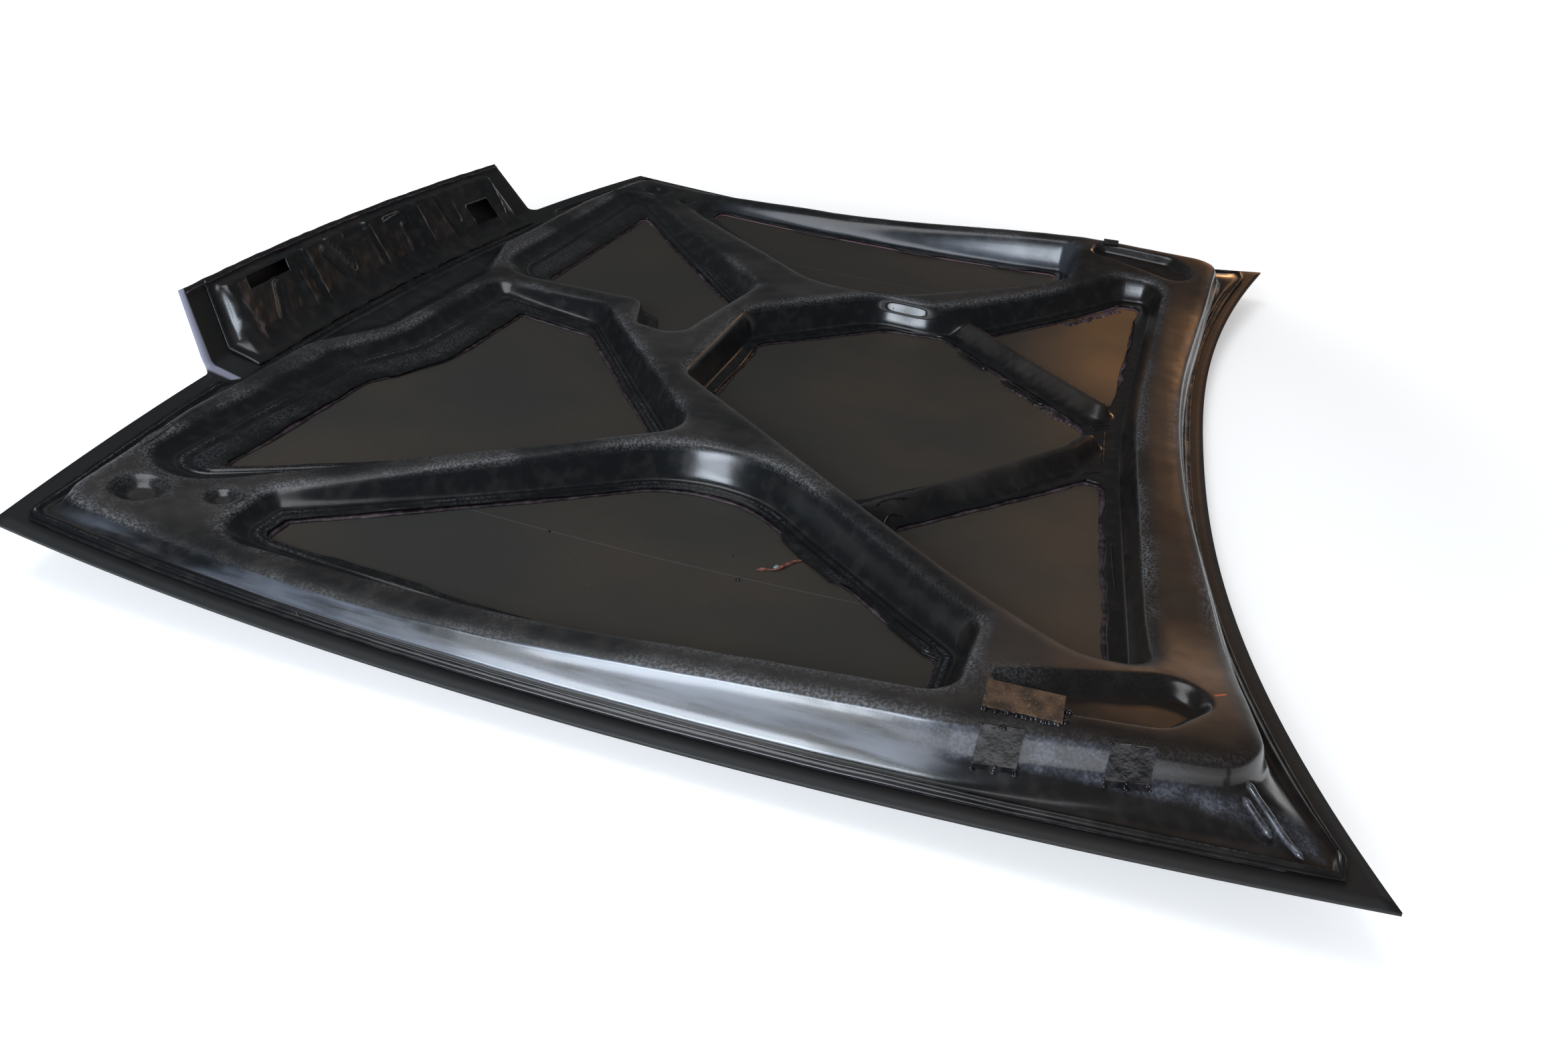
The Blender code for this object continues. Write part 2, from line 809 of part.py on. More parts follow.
def paste_ring(outer, inner):
    """A flat bead between two matched outlines, filling most of the joint's height."""
    low_lift = PASTE_CLEARANCE
    high_lift = JOINT - PASTE_CLEARANCE
    sheet = Sheet()
    loops = []
    for points, lift in ((outer, low_lift), (outer, high_lift), (inner, high_lift), (inner, low_lift)):
        loops.append(sheet.ring(points, lambda p, i, up=lift: skin_z(p.x, p.y) + up))
    for index, loop in enumerate(loops):
        sheet.band(loop, loops[(index + 1) % len(loops)])
    return sheet


def opening_paste(outline):
    plan = sample_plan(outline)
    count = len(outline)
    outer = drawn(inset(outline, [-PASTE_UNDER_FLANGE] * count), plan)
    inner = drawn(inset(outline, [PASTE_SQUEEZED_OUT] * count), plan)
    return paste_ring(outer, inner)


def edge_paste():
    top, edge = perimeter()
    outer = [b - (b - a).normalized() * 0.002 for a, b in zip(top, edge)]
    inner = [b - (b - a).normalized() * PASTE_UNDER_FLANGE for a, b in zip(top, edge)]
    return paste_ring(outer, inner)


# Nose panel: a ribbed pressing bonded inside the tongue


# Columns: share of the tongue's half width, share of the ribs' height
PANEL_COLUMNS = [
    (-0.89, 0.0),
    (-0.86, 0.0),
    (-0.80, 1.0),
    (-0.706, 0.6),
    (-0.499, 0.6),
    (-0.474, 1.0),
    (-0.42, 1.0),
    (-0.394, 0.6),
    (-0.286, 0.6),
    (-0.20, 0.9),
    (-0.07, 0.9),
    (-0.043, 0.6),
    (0.226, 0.6),
    (0.253, 1.0),
    (0.40, 1.0),
    (0.426, 0.6),
    (0.571, 0.6),
    (0.722, 0.6),
    (0.80, 1.0),
    (0.86, 0.0),
    (0.89, 0.0),
]
# Rows: share of the tongue's straight run, share of the panel's height
PANEL_ROWS = [(0.0, 1.0), (0.39, 1.0), (0.58, 1.0), (0.78, 1.0), (0.87, 0.0), (0.965, 0.0)]
NEAR_SLOT = (3, 2)
FAR_HOLE = (16, 0)


def nose_panel():
    sheet = Sheet()
    bend = TONGUE_BEND_RADIUS * TONGUE_ANGLE
    seat = PASTE_CLEARANCE + PANEL_THICKNESS
    rows = []
    for distance, lift in ((PANEL_FOOT_EDGE, seat), (PANEL_FOOT_BEND, seat + 0.001)):
        row = []
        for x, _ in PANEL_COLUMNS:
            x = x * TONGUE_BASE_HALF
            y = front_edge(x) - distance
            row.append(len(sheet.points))
            sheet.points.append(Vector((x, y, skin_z(x, y) + lift)))
        rows.append(row)
    for share_of_run, raised in PANEL_ROWS:
        row = []
        for x, share in PANEL_COLUMNS:
            lift = seat + (PANEL_DEPTH + PANEL_RIB * share) * raised * min(share * 3, 1.0)
            row.append(len(sheet.points))
            run = bend + share_of_run * TONGUE_STRAIGHT
            sheet.points.append(tongue_point(x, run, lift))
        rows.append(row)
    holes = {(2 + NEAR_SLOT[1], NEAR_SLOT[0]), (2 + FAR_HOLE[1], FAR_HOLE[0])}
    for j, (low, high) in enumerate(zip(rows, rows[1:])):
        for i in range(len(PANEL_COLUMNS) - 1):
            if (j, i) not in holes:
                sheet.faces.append((low[i], low[i + 1], high[i + 1], high[i]))
    return sheet


# Hinge plate and the strips bonded over the rails


def flat_patch(centre, size):
    """A patch that follows the plateau under it."""
    middle_x, middle_y, _ = fitted([(*centre, 0)])[0]
    sheet = Sheet()
    ring = []
    for i, j in ((-1, -1), (1, -1), (1, 1), (-1, 1)):
        x = middle_x + i * size[0] / 2
        y = middle_y + j * size[1] / 2
        ring.append(len(sheet.points))
        sheet.points.append(Vector((x, y, plateau_z(x, y))))
    sheet.faces.append(tuple(ring))
    return sheet


def slope_patch(frame_points, rings, drawn_y):
    """A strip that follows the near rail's outer wall from the plateau's edge to past the knee."""
    y = fitted([(-REAR_HALF, drawn_y, 0)])[0][1]
    sheet = Sheet()
    rows = []
    for upper, lower, share in ((0, 1, 0.0), (0, 1, 1.0), (1, 2, STRIP_END)):
        points = [frame_points[a].lerp(frame_points[b], share) for a, b in zip(rings[upper], rings[lower])]
        row = []
        for level in (y - STRIP_WIDTH / 2, y, y + STRIP_WIDTH / 2):
            for a, b in zip(points, points[1:] + points[:1]):
                if a.x < -REAR_HALF / 2 and (a.y - level) * (b.y - level) <= 0 and a.y != b.y:
                    row.append(len(sheet.points))
                    sheet.points.append(a.lerp(b, (level - a.y) / (b.y - a.y)))
                    break
        rows.append(row)
    for low, high in zip(rows, rows[1:]):
        for i in range(len(low) - 1):
            sheet.faces.append((low[i], low[i + 1], high[i + 1], high[i]))
    return sheet


def build():
    for old in list(bpy.data.objects):
        bpy.data.objects.remove(old, do_unlink=True)
    paint = material("black paint", (0.012, 0.012, 0.013), 0.28)
    frame_paint = material("black frame moulding", (0.015, 0.015, 0.016), 0.32)
    paste = material("dark bonding paste", (0.05, 0.035, 0.035), 0.45)
    bare = material("painted plate", (0.05, 0.03, 0.02), 0.4)
    datum = bpy.data.objects.new("bonnet", None)
    bpy.context.scene.collection.objects.link(datum)
    skin_sheet = outer_skin()
    low = min(p.z for p in skin_sheet.points) - SKIN_THICKNESS
    far_y = max(p.y for p in skin_sheet.points) + SKIN_THICKNESS * math.sin(TONGUE_ANGLE)
    datum.location = (0, -far_y / 2, -low)
    place("outer_skin", skin_sheet.mesh("outer_skin"), paint, datum, SKIN_THICKNESS)
    frame_sheet, slope = inner_frame()
    place("inner_frame", frame_sheet.mesh("inner_frame"), frame_paint, datum, FRAME_THICKNESS)
    place("nose_panel", nose_panel().mesh("nose_panel"), frame_paint, datum, PANEL_THICKNESS)
    for name, outline in openings().items():
        place("paste_" + name, opening_paste(outline).mesh("paste_" + name), paste, datum)
    place("paste_edge", edge_paste().mesh("paste_edge"), paste, datum)
    hinge_plate = flat_patch(PLATE_CENTRE, PLATE_SIZE).mesh("hinge_plate")
    place("hinge_plate", hinge_plate, bare, datum, PLATE_SIZE[2], PLATE_GAP)
    far_strip = flat_patch(FAR_STRIP_CENTRE, FAR_STRIP_SIZE).mesh("far_rail_strip")
    place("far_rail_strip", far_strip, frame_paint, datum, STRIP_THICKNESS, STRIP_GAP)
    for name, y in (("near_rail_strip_front", FRONT_STRIP_Y), ("near_rail_strip_rear", REAR_STRIP_Y)):
        strip = slope_patch(frame_sheet.points, slope, y).mesh(name)
        place(name, strip, frame_paint, datum, STRIP_THICKNESS, STRIP_GAP)
    bpy.context.view_layer.update()


build()
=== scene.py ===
import math

import bpy
import numpy as np
from mathutils import Matrix, Vector
from mathutils.geometry import delaunay_2d_cdt


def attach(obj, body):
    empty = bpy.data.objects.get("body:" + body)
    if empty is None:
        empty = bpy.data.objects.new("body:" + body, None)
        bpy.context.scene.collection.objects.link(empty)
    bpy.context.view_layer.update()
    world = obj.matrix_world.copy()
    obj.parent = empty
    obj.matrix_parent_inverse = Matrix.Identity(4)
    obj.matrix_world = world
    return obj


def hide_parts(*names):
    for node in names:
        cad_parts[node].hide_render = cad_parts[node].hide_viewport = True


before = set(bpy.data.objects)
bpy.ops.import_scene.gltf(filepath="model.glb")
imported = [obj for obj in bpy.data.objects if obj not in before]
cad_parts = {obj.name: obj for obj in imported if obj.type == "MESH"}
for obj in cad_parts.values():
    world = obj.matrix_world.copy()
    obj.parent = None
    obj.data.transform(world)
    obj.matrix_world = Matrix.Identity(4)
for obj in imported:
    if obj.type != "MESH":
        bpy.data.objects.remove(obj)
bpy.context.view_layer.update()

print("frame loaded")

# Where the drawing's origin, midway between the rear corner tips, lies in the frame
origin = np.array((0.0, -0.61238, 0.05463))

bonnet = {
    "rearHalf": 0.727,
    "frontHalf": 0.702,
    "length": 1.104,
    "rearBow": 0.097,
    "bowPower": 2.4,
    "frontBow": 0.069,
    "sideDrop": 0.028,
    "crownRear": 0.030,
    "crownFront": 0.016,
    "rollLength": 0.15,
    "rollShare": 0.8,
    "joint": 0.0022,
    "frameThickness": 0.0022,
}


# Shape of the skin, as in the solids


def smooth(value):
    value = np.clip(value, 0, 1)
    return value * value * (3 - 2 * value)


def mix(a, b, share):
    return a + (b - a) * share


def sideHalf(y):
    share = np.clip(y / bonnet["length"], 0, 1)
    return mix(bonnet["rearHalf"], bonnet["frontHalf"], share**4)


def rearEdge(x):
    share = np.minimum(np.abs(x) / bonnet["rearHalf"], 1)
    return bonnet["rearBow"] * (1 - share ** bonnet["bowPower"])


def frontEdge(x):
    share = np.minimum(np.abs(x) / bonnet["frontHalf"], 1)
    return bonnet["length"] + bonnet["frontBow"] * (1 - share**2)


def skinZ(x, y):
    along = y / bonnet["length"]
    toFront = (frontEdge(x) - y) / bonnet["rollLength"]
    rolled = 1 - bonnet["rollShare"] * np.clip(1 - toFront, 0, 1) ** 2
    crown = mix(bonnet["crownRear"], bonnet["crownFront"], along) * rolled
    across = 1 - (x / sideHalf(y)) ** 2
    return -bonnet["sideDrop"] * 4 * along * (1 - along) - crown * across


def ripple(x, y, scale, seed):
    # Gentle unevenness between -1 and 1, about scale metres from hump to hump
    draw = np.random.default_rng(seed)
    total = 0
    for _ in range(5):
        angle, phase = draw.uniform(0, 2 * math.pi, 2)
        stretch = draw.uniform(0.7, 1.6)
        across = x * math.cos(angle) + y * math.sin(angle)
        total = total + np.sin(across * 2 * math.pi * stretch / scale + phase)
    return total / 5


def rippled(x, y, waves):
    # Waves as (height, length, seed), added up
    return sum(height * ripple(x, y, length, seed) for height, length, seed in waves)


def jitter(count, knots, seed):
    # Uneven values between -1 and 1 that run once round a ring
    values = np.random.default_rng(seed).uniform(-1, 1, knots)
    at = np.arange(count) * knots / count
    return np.interp(at, np.arange(knots + 1), np.append(values, values[0]))


lowRibs = {
    "lines": [
        [(-0.325, 0.450), (-0.072, 0.251), (-0.030, 0.232)],
        [(0.308, 0.442), (0.078, 0.225)],
    ],
    "top": 0.005,
    "foot": 0.018,
    "height": 0.0175,
    "bayWaves": [(0.0003, 0.09, 3), (0.00025, 0.035, 4)],
}

plateau = {
    "level": -0.003,
    "rise": 0.030,
    "leastHeight": 0.014,
    "blend": 0.004,
    "shoulderDrop": 0.0026,
    "shoulderReach": 0.012,
    "shoulderRings": (0.0072, 0.0045, 0.0022),
    "waviness": 0.0005,
    "waves": [(1.0, 0.14, 1), (0.6, 0.05, 2)],
    # The plateau climbs towards the rear and the sides: where it starts, over what length
    "rearClimb": (0.75, 0.53),
    "sideClimb": (0.42, 0.24),
}


def lineDistance(x, y, line):
    nearest = np.full(np.shape(x), 9.0)
    for (ax, ay), (bx, by) in zip(line, line[1:]):
        dx, dy = bx - ax, by - ay
        share = np.clip(((x - ax) * dx + (y - ay) * dy) / (dx * dx + dy * dy), 0, 1)
        nearest = np.minimum(nearest, np.hypot(x - ax - dx * share, y - ay - dy * share))
    return nearest


def lowRib(x, y):
    aside = np.minimum(*(lineDistance(x, y, line) for line in lowRibs["lines"]))
    return lowRibs["height"] * smooth((lowRibs["foot"] - aside) / (lowRibs["foot"] - lowRibs["top"]))


def floorZ(x, y):
    uneven = rippled(x, y, lowRibs["bayWaves"])
    return skinZ(x, y) + bonnet["joint"] + bonnet["frameThickness"] + lowRib(x, y) + uneven


def plateauZ(x, y):
    rearStart, rearLength = plateau["rearClimb"]
    sideStart, sideLength = plateau["sideClimb"]
    towardsRear = (rearStart - y) / rearLength
    towardsSide = (np.abs(x) - sideStart) / sideLength
    level = plateau["level"] + plateau["rise"] * smooth(towardsRear) * smooth(towardsSide)
    lowest = skinZ(x, y) + plateau["leastHeight"]
    above = level - lowest
    return lowest + (above + np.hypot(above, plateau["blend"])) / 2


def topZ(x, y, fromRim):
    drop = np.clip(1 - fromRim / plateau["shoulderReach"], 0, 1) ** 2 * plateau["shoulderDrop"]
    wavy = rippled(x, y, plateau["waves"])
    return plateauZ(x, y) + wavy * plateau["waviness"] - drop


# Outlines: corners (x, y, radius), anticlockwise, drawn with straight sides and arcs

outlines = {
    "frontNear": [
        (-0.634, 1.085, 0.050),
        (-0.254, 0.640, 0.050),
        (0.060, 0.884, 0.050),
        (0.072, 1.061, 0.030),
        (-0.160, 1.061, 0.080),
        (-0.262, 1.092, 0.080),
    ],
    "frontFar": [
        (0.102, 1.088, 0.085),
        (0.094, 0.852, 0.022),
        (0.008, 0.824, 0.018),
        (-0.008, 0.758, 0.032),
        (0.244, 0.724, 0.030),
        (0.640, 1.081, 0.038),
    ],
    "sideNear": [
        (-0.645, 0.948, 0.048),
        (-0.653, 0.640, 0.800),
        (-0.648, 0.298, 0.034),
        (-0.510, 0.293, 0.042),
        (-0.236, 0.598, 0.150),
        (-0.556, 0.950, 0.028),
    ],
    "rearBay": [
        (-0.113, 0.712, 0.040),
        (-0.539, 0.215, 0.050),
        (-0.535, 0.155, 0.036),
        (0.0, 0.183, 2.500),
        (0.537, 0.155, 0.040),
        (0.543, 0.238, 0.045),
        (0.281, 0.468, 0.060),
        (0.292, 0.570, 0.090),
        (0.138, 0.713, 0.060),
    ],
    "centre": [
        (-0.078, 0.682, 0.022),
        (-0.280, 0.464, 0.024),
        (0.005, 0.205, 0.085),
        (0.268, 0.453, 0.024),
        (0.258, 0.540, 0.060),
        (0.114, 0.683, 0.030),
    ],
    "rearNear": [
        (-0.318, 0.413, 0.018),
        (-0.503, 0.206, 0.012),
        (-0.503, 0.187, 0.010),
        (-0.094, 0.210, 0.016),
    ],
    "rearFar": [
        (0.294, 0.402, 0.018),
        (0.088, 0.208, 0.016),
        (0.503, 0.187, 0.014),
        (0.503, 0.220, 0.016),
    ],
    "hingeRecess": [
        (-0.651, 0.273, 0.014),
        (-0.631, 0.148, 0.034),
        (-0.576, 0.108, 0.034),
        (-0.541, 0.140, 0.030),
        (-0.604, 0.281, 0.018),
    ],
    "edge": [
        (-0.647, 0.080, 0.040),
        (0.0, 0.147, 2.500),
        (0.647, 0.080, 0.040),
        (0.680, 0.300, 0.150),
        (0.684, 0.800, 1.500),
        (0.655, 1.078, 0.030),
        (0.470, 1.103, 0.300),
        (0.200, 1.110, 0.060),
        (0.085, 1.074, 0.080),
        (-0.150, 1.074, 0.080),
        (-0.262, 1.114, 0.080),
        (-0.470, 1.103, 0.300),
        (-0.655, 1.078, 0.030),
        (-0.684, 0.800, 1.500),
        (-0.680, 0.300, 0.150),
    ],
}

# For each side of a pocket: how far its wall runs inwards, and how wide its flange is
wallRun = {
    "frontNear": [0.022, 0.018, 0.020, 0.025, 0.024, 0.024],
    "frontFar": [0.018, 0.014, 0.040, 0.020, 0.022, 0.024],
    "sideNear": [0.022, 0.022, 0.018, 0.022, 0.022, 0.020],
    "rearBay": [0.022, 0.018, 0.015, 0.015, 0.018, 0.024, 0.018, 0.020, 0.018],
    "hingeRecess": [0.008, 0.012, 0.012, 0.022, 0.014],
}
# Where a flange widens: place of the middle, half length, how much
flangeJogs = {
    "sideNear": [
        (-0.405, 0.467, 0.058, 0.010),
        (-0.508, 0.352, 0.040, 0.006),
        (-0.600, 0.800, 0.060, 0.004),
    ],
    "frontNear": [
        (-0.205, 1.010, 0.060, 0.006),
        (-0.420, 0.995, 0.035, -0.006),
        (-0.100, 0.760, 0.040, 0.006),
    ],
    "frontFar": [
        (0.330, 0.800, 0.045, 0.006),
        (0.470, 0.930, 0.040, 0.005),
        (0.100, 0.930, 0.030, 0.004),
    ],
    "sideFar": [
        (0.615, 0.740, 0.050, 0.007),
        (0.612, 0.560, 0.045, 0.009),
        (0.600, 0.400, 0.040, 0.006),
    ],
}
flangeWidth = {
    "frontNear": [0.015, 0.014, 0.034, 0.048, 0.045, 0.040],
    "frontFar": [0.014, 0.010, 0.020, 0.014, 0.018, 0.048],
    "sideNear": [0.012, 0.012, 0.012, 0.016, 0.016, 0.014],
}
fineness = {
    "arcSteps": 10,
    "edgeStep": 0.0095,
    "leastRadius": 0.008,
    # Spacing of the points between the rings, and how clear of the rings they stay
    "plateauWeb": (0.0085, 0.004),
    "bayWeb": (0.0062, 0.003),
}


def mirrored(corners):
    return [(-x, y, radius) for x, y, radius in reversed(corners)]


def mirroredSides(values):
    return list(reversed(values[:-1])) + [values[-1]]


outlines["sideFar"] = mirrored(outlines["sideNear"])
wallRun["sideFar"] = mirroredSides(wallRun["sideNear"])
flangeWidth["sideFar"] = mirroredSides(flangeWidth["sideNear"])


def unit(vectors):
    return vectors / np.maximum(np.linalg.norm(vectors, axis=-1, keepdims=True), 1e-12)


def cross(a, b):
    return a[..., 0] * b[..., 1] - a[..., 1] * b[..., 0]


def cornerPoints(corners):
    return np.array([corner[:2] for corner in corners], float)


def turns(corners):
    points = cornerPoints(corners)
    into = points - np.roll(points, 1, axis=0)
    out = np.roll(points, -1, axis=0) - points
    return np.arctan2(cross(into, out), (into * out).sum(axis=1))


def inset(corners, distances):
    # The outline with each side moved inwards by its own distance
    points = cornerPoints(corners)
    along = unit(np.roll(points, -1, axis=0) - points)
    inwards = np.column_stack([-along[:, 1], along[:, 0]])
    starts = points + inwards * np.array(distances)[:, None]
    moved = []
    for index, bend in enumerate(turns(corners)):
        before, here = starts[index - 1], starts[index]
        share = cross(here - before, along[index]) / cross(along[index - 1], along[index])
        point = before + along[index - 1] * share
        step = (distances[index - 1] + distances[index]) / 2
        radius = corners[index][2] - step * math.copysign(1, bend)
        moved.append((point[0], point[1], max(radius, fineness["leastRadius"])))
    return moved


def reaches(corners):
    # How far each corner's arc starts before the corner
    points = cornerPoints(corners)
    lengths = np.linalg.norm(np.roll(points, -1, axis=0) - points, axis=1)
    tangents = [corner[2] for corner in corners] * np.tan(np.abs(turns(corners)) / 2)
    return np.minimum(tangents, 0.48 * np.minimum(lengths, np.roll(lengths, 1))), lengths


def samplePlan(corners):
    bends = np.abs(turns(corners))
    reach, lengths = reaches(corners)
    arcLengths = reach / np.tan(bends / 2) * bends
    byAngle = fineness["arcSteps"] * bends / (math.pi / 2)
    arcs = np.maximum(np.maximum(byAngle, arcLengths / fineness["edgeStep"]), 2).round()
    straight = lengths - reach - np.roll(reach, -1)
    sides = np.maximum(straight / fineness["edgeStep"], 1).round()
    return arcs.astype(int), sides.astype(int)


def drawn(corners, plan):
    # Points along an outline, the same count for each outline drawn to one plan
    arcs, sides = plan
    points = cornerPoints(corners)
    bends = turns(corners)
    reach, _ = reaches(corners)
    found = []
    for index, here in enumerate(points):
        into = unit(here - points[index - 1])
        following = (index + 1) % len(points)
        out = unit(points[following] - here)
        start = here - into * reach[index]
        radius = reach[index] / math.tan(abs(bends[index]) / 2)
        centre = start + np.array((-into[1], into[0])) * math.copysign(radius, bends[index])
        spoke = start - centre
        angle = bends[index] * np.arange(arcs[index] + 1) / arcs[index]
        x = spoke[0] * np.cos(angle) - spoke[1] * np.sin(angle)
        y = spoke[0] * np.sin(angle) + spoke[1] * np.cos(angle)
        arc = centre + np.column_stack([x, y])
        target = points[following] - out * reach[following]
        shares = np.arange(1, sides[index])[:, None] / sides[index]
        found += [arc, mix(arc[-1], target, shares)]
    return np.concatenate(found)


def within(points, polygon):
    x, y = points[:, 0], points[:, 1]
    found = np.zeros(len(points), bool)
    for (ax, ay), (bx, by) in zip(polygon, np.roll(polygon, 1, axis=0)):
        if ay != by:
            crossing = ax + (bx - ax) * (y - ay) / (by - ay)
            found ^= ((ay > y) != (by > y)) & (x < crossing)
    return found


def distanceTo(points, loops):
    starts = np.concatenate(loops)
    along = np.concatenate([np.roll(loop, -1, axis=0) for loop in loops]) - starts
    squared = np.maximum((along**2).sum(axis=1), 1e-12)
    found = []
    for part in np.array_split(points, max(1, len(points) // 400)):
        offset = part[:, None, :] - starts[None]
        share = np.clip((offset * along).sum(axis=2) / squared, 0, 1)
        gap = offset - along * share[..., None]
        found.append(np.sqrt((gap**2).sum(axis=2)).min(axis=1))
    return np.concatenate(found)


def outwardsOf(ring):
    along = np.roll(ring, -1, axis=0) - np.roll(ring, 1, axis=0)
    return unit(np.column_stack([along[:, 1], -along[:, 0]]))


class Sheet:
    # A surface gathered ring by ring, with the wear marks that its material reads
    def __init__(self):
        self.points = []
        self.faces = []
        self.marks = {"rubbed": [], "wall": [], "low": [], "seam": []}
        self.count = 0

    def ring(self, flat, height, **marks):
        self.points.append(np.column_stack([flat, height]))
        for name, kept in self.marks.items():
            kept.append(np.full(len(flat), 0.0) + marks.get(name, 0.0))
        first = self.count
        self.count += len(flat)
        return np.arange(first, self.count)

    def band(self, outer, inner):
        sides = [outer, np.roll(outer, -1), np.roll(inner, -1), inner]
        self.faces += np.column_stack(sides).tolist()

    def web(self, outer, holes, surface, spacing, clear):
        # Triangles over a honeycomb of points between an outer ring and the rings of its holes
        loops = [outer, *holes]
        known = np.concatenate(self.points)
        border = [known[loop][:, :2] for loop in loops]
        low, high = border[0].min(axis=0), border[0].max(axis=0)
        rows = []
        for number, y in enumerate(np.arange(low[1], high[1], spacing * 0.866)):
            x = np.arange(low[0] + (number % 2) * spacing / 2, high[0], spacing)
            rows.append(np.column_stack([x, np.full(len(x), y)]))
        grid = np.concatenate(rows)
        grid = grid[self.between(grid, border)]
        away = distanceTo(grid, border)
        grid = grid[away > clear]
        flat = np.concatenate([*border, grid])
        edges = []
        first = 0
        for loop in loops:
            edges += [(first + i, first + (i + 1) % len(loop)) for i in range(len(loop))]
            first += len(loop)
        vectors = [Vector(point) for point in flat.tolist()]
        found, _, triangles, sources, _, _ = delaunay_2d_cdt(vectors, edges, [], 0, 1e-7)
        found = np.array([tuple(point) for point in found])
        triangles = np.array(triangles)
        kept = self.between(found[triangles].mean(axis=1), border)
        a, b, c = (found[triangles[:, i]] for i in range(3))
        kept &= np.abs(cross(b - a, c - a)) > 1e-9
        triangles = triangles[kept]
        names = np.concatenate(loops)
        numbers = np.full(len(found), -1)
        for number, origins in enumerate(sources):
            old = [source for source in origins if source < len(names)]
            if old:
                numbers[number] = names[old[0]]
        fresh = np.flatnonzero((numbers < 0) & np.isin(np.arange(len(found)), triangles))
        height, marks = surface(found[fresh], distanceTo(found[fresh], border))
        numbers[fresh] = self.ring(found[fresh], height, **marks)
        self.faces += numbers[triangles].tolist()

    def between(self, points, border):
        found = within(points, border[0])
        for hole in border[1:]:
            found &= ~within(points, hole)
        return found


def makePiece(name, points, faces, finish, nodes, thickness=0.0, marks=None):
    mesh = bpy.data.meshes.new(name)
    mesh.from_pydata((np.asarray(points) + origin).tolist(), [], faces)
    mesh.validate()
    mesh.shade_smooth()
    for markName, values in (marks or {}).items():
        attribute = mesh.attributes.new(markName, "FLOAT", "POINT")
        attribute.data.foreach_set("value", np.concatenate(values).astype(np.float32))
    for material in finish:
        mesh.materials.append(material)
    piece = bpy.data.objects.new(name, mesh)
    bpy.context.scene.collection.objects.link(piece)
    if thickness:
        shell = piece.modifiers.new("thickness", "SOLIDIFY")
        shell.thickness = thickness
        shell.offset = -1
        shell.use_even_offset = True
        shell.thickness_clamp = 0.9
        shell.material_offset = len(finish) - 1
        shell.material_offset_rim = 0
    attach(piece, "root")
    if nodes:
        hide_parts(*nodes)
    return piece


# Shader maths: a socket that takes part in sums


class Wire:
    def __init__(self, tree, socket):
        self.tree = tree
        self.socket = socket

    def node(self, kind, settings, inputs, output=0):
        made = self.tree.nodes.new(kind)
        for name, value in settings.items():
            setattr(made, name, value)
        for name, value in inputs.items():
            if isinstance(value, Wire):
                self.tree.links.new(value.socket, made.inputs[name])
            else:
                made.inputs[name].default_value = value
        return Wire(self.tree, made.outputs[output])

    def maths(self, operation, *values):
        return self.node("ShaderNodeMath", {"operation": operation}, dict(enumerate(values)))

    def __add__(self, other):
        return self.maths("ADD", self, other)

    def __radd__(self, other):
        return self.maths("ADD", other, self)

    def __sub__(self, other):
        return self.maths("SUBTRACT", self, other)

    def __rsub__(self, other):
        return self.maths("SUBTRACT", other, self)

    def __mul__(self, other):
        return self.maths("MULTIPLY", self, other)

    def __rmul__(self, other):
        return self.maths("MULTIPLY", other, self)

    def axis(self, number):
        return self.node("ShaderNodeSeparateXYZ", {}, {0: self}, number)

    def clamped(self):
        return self.maths("MINIMUM", self.maths("MAXIMUM", self, 0.0), 1.0)

    def band(self, low, high):
        # 0 below low, 1 above high, or the other way round
        settings = {"interpolation_type": "SMOOTHSTEP"}
        return self.node("ShaderNodeMapRange", settings, {0: self, 1: low, 2: high})

    def noise(self, scale, detail=2.0, stretch=None):
        place = self
        if stretch:
            place = self.node("ShaderNodeMapping", {}, {0: self, 3: stretch})
        inputs = {"Vector": place, "Scale": scale, "Detail": detail}
        return self.node("ShaderNodeTexNoise", {}, inputs)

    def colour(self, low, high):
        # Mixes two colours by this value
        low = (*low, 1) if isinstance(low, tuple) else low
        high = (*high, 1) if isinstance(high, tuple) else high
        inputs = {0: self, 6: low, 7: high}
        return self.node("ShaderNodeMix", {"data_type": "RGBA"}, inputs, 2)


def strokes(x, y, lines, width):
    # 1 along straight strokes, whose ends are given in the drawing
    total = 0.0
    for (ax, ay), (bx, by) in lines:
        dx, dy = bx - ax, by - ay
        fromX, fromY = x - (ax + origin[0]), y - (ay + origin[1])
        along = ((fromX * dx + fromY * dy) * (1 / (dx * dx + dy * dy))).clamped()
        asideX, asideY = fromX - along * dx, fromY - along * dy
        aside = x.maths("SQRT", asideX * asideX + asideY * asideY)
        total = total + aside.band(width, width * 0.3)
    return total.clamped()


def newMaterial(name):
    material = bpy.data.materials.new(name)
    material.use_nodes = True
    tree = material.node_tree
    shader = tree.nodes["Principled BSDF"]
    place = Wire(tree, tree.nodes.new("ShaderNodeTexCoord").outputs["Object"])
    return material, tree, shader, place


def feed(tree, shader, **links):
    for name, value in links.items():
        socket = shader.inputs[name.replace("_", " ")]
        if isinstance(value, Wire):
            tree.links.new(value.socket, socket)
        else:
            socket.default_value = value


def bumped(height, strength, distance):
    return height.node("ShaderNodeBump", {}, {"Strength": strength, "Distance": distance, "Height": height})


def attribute(place, name):
    return place.node("ShaderNodeAttribute", {"attribute_name": name}, {}, "Fac")


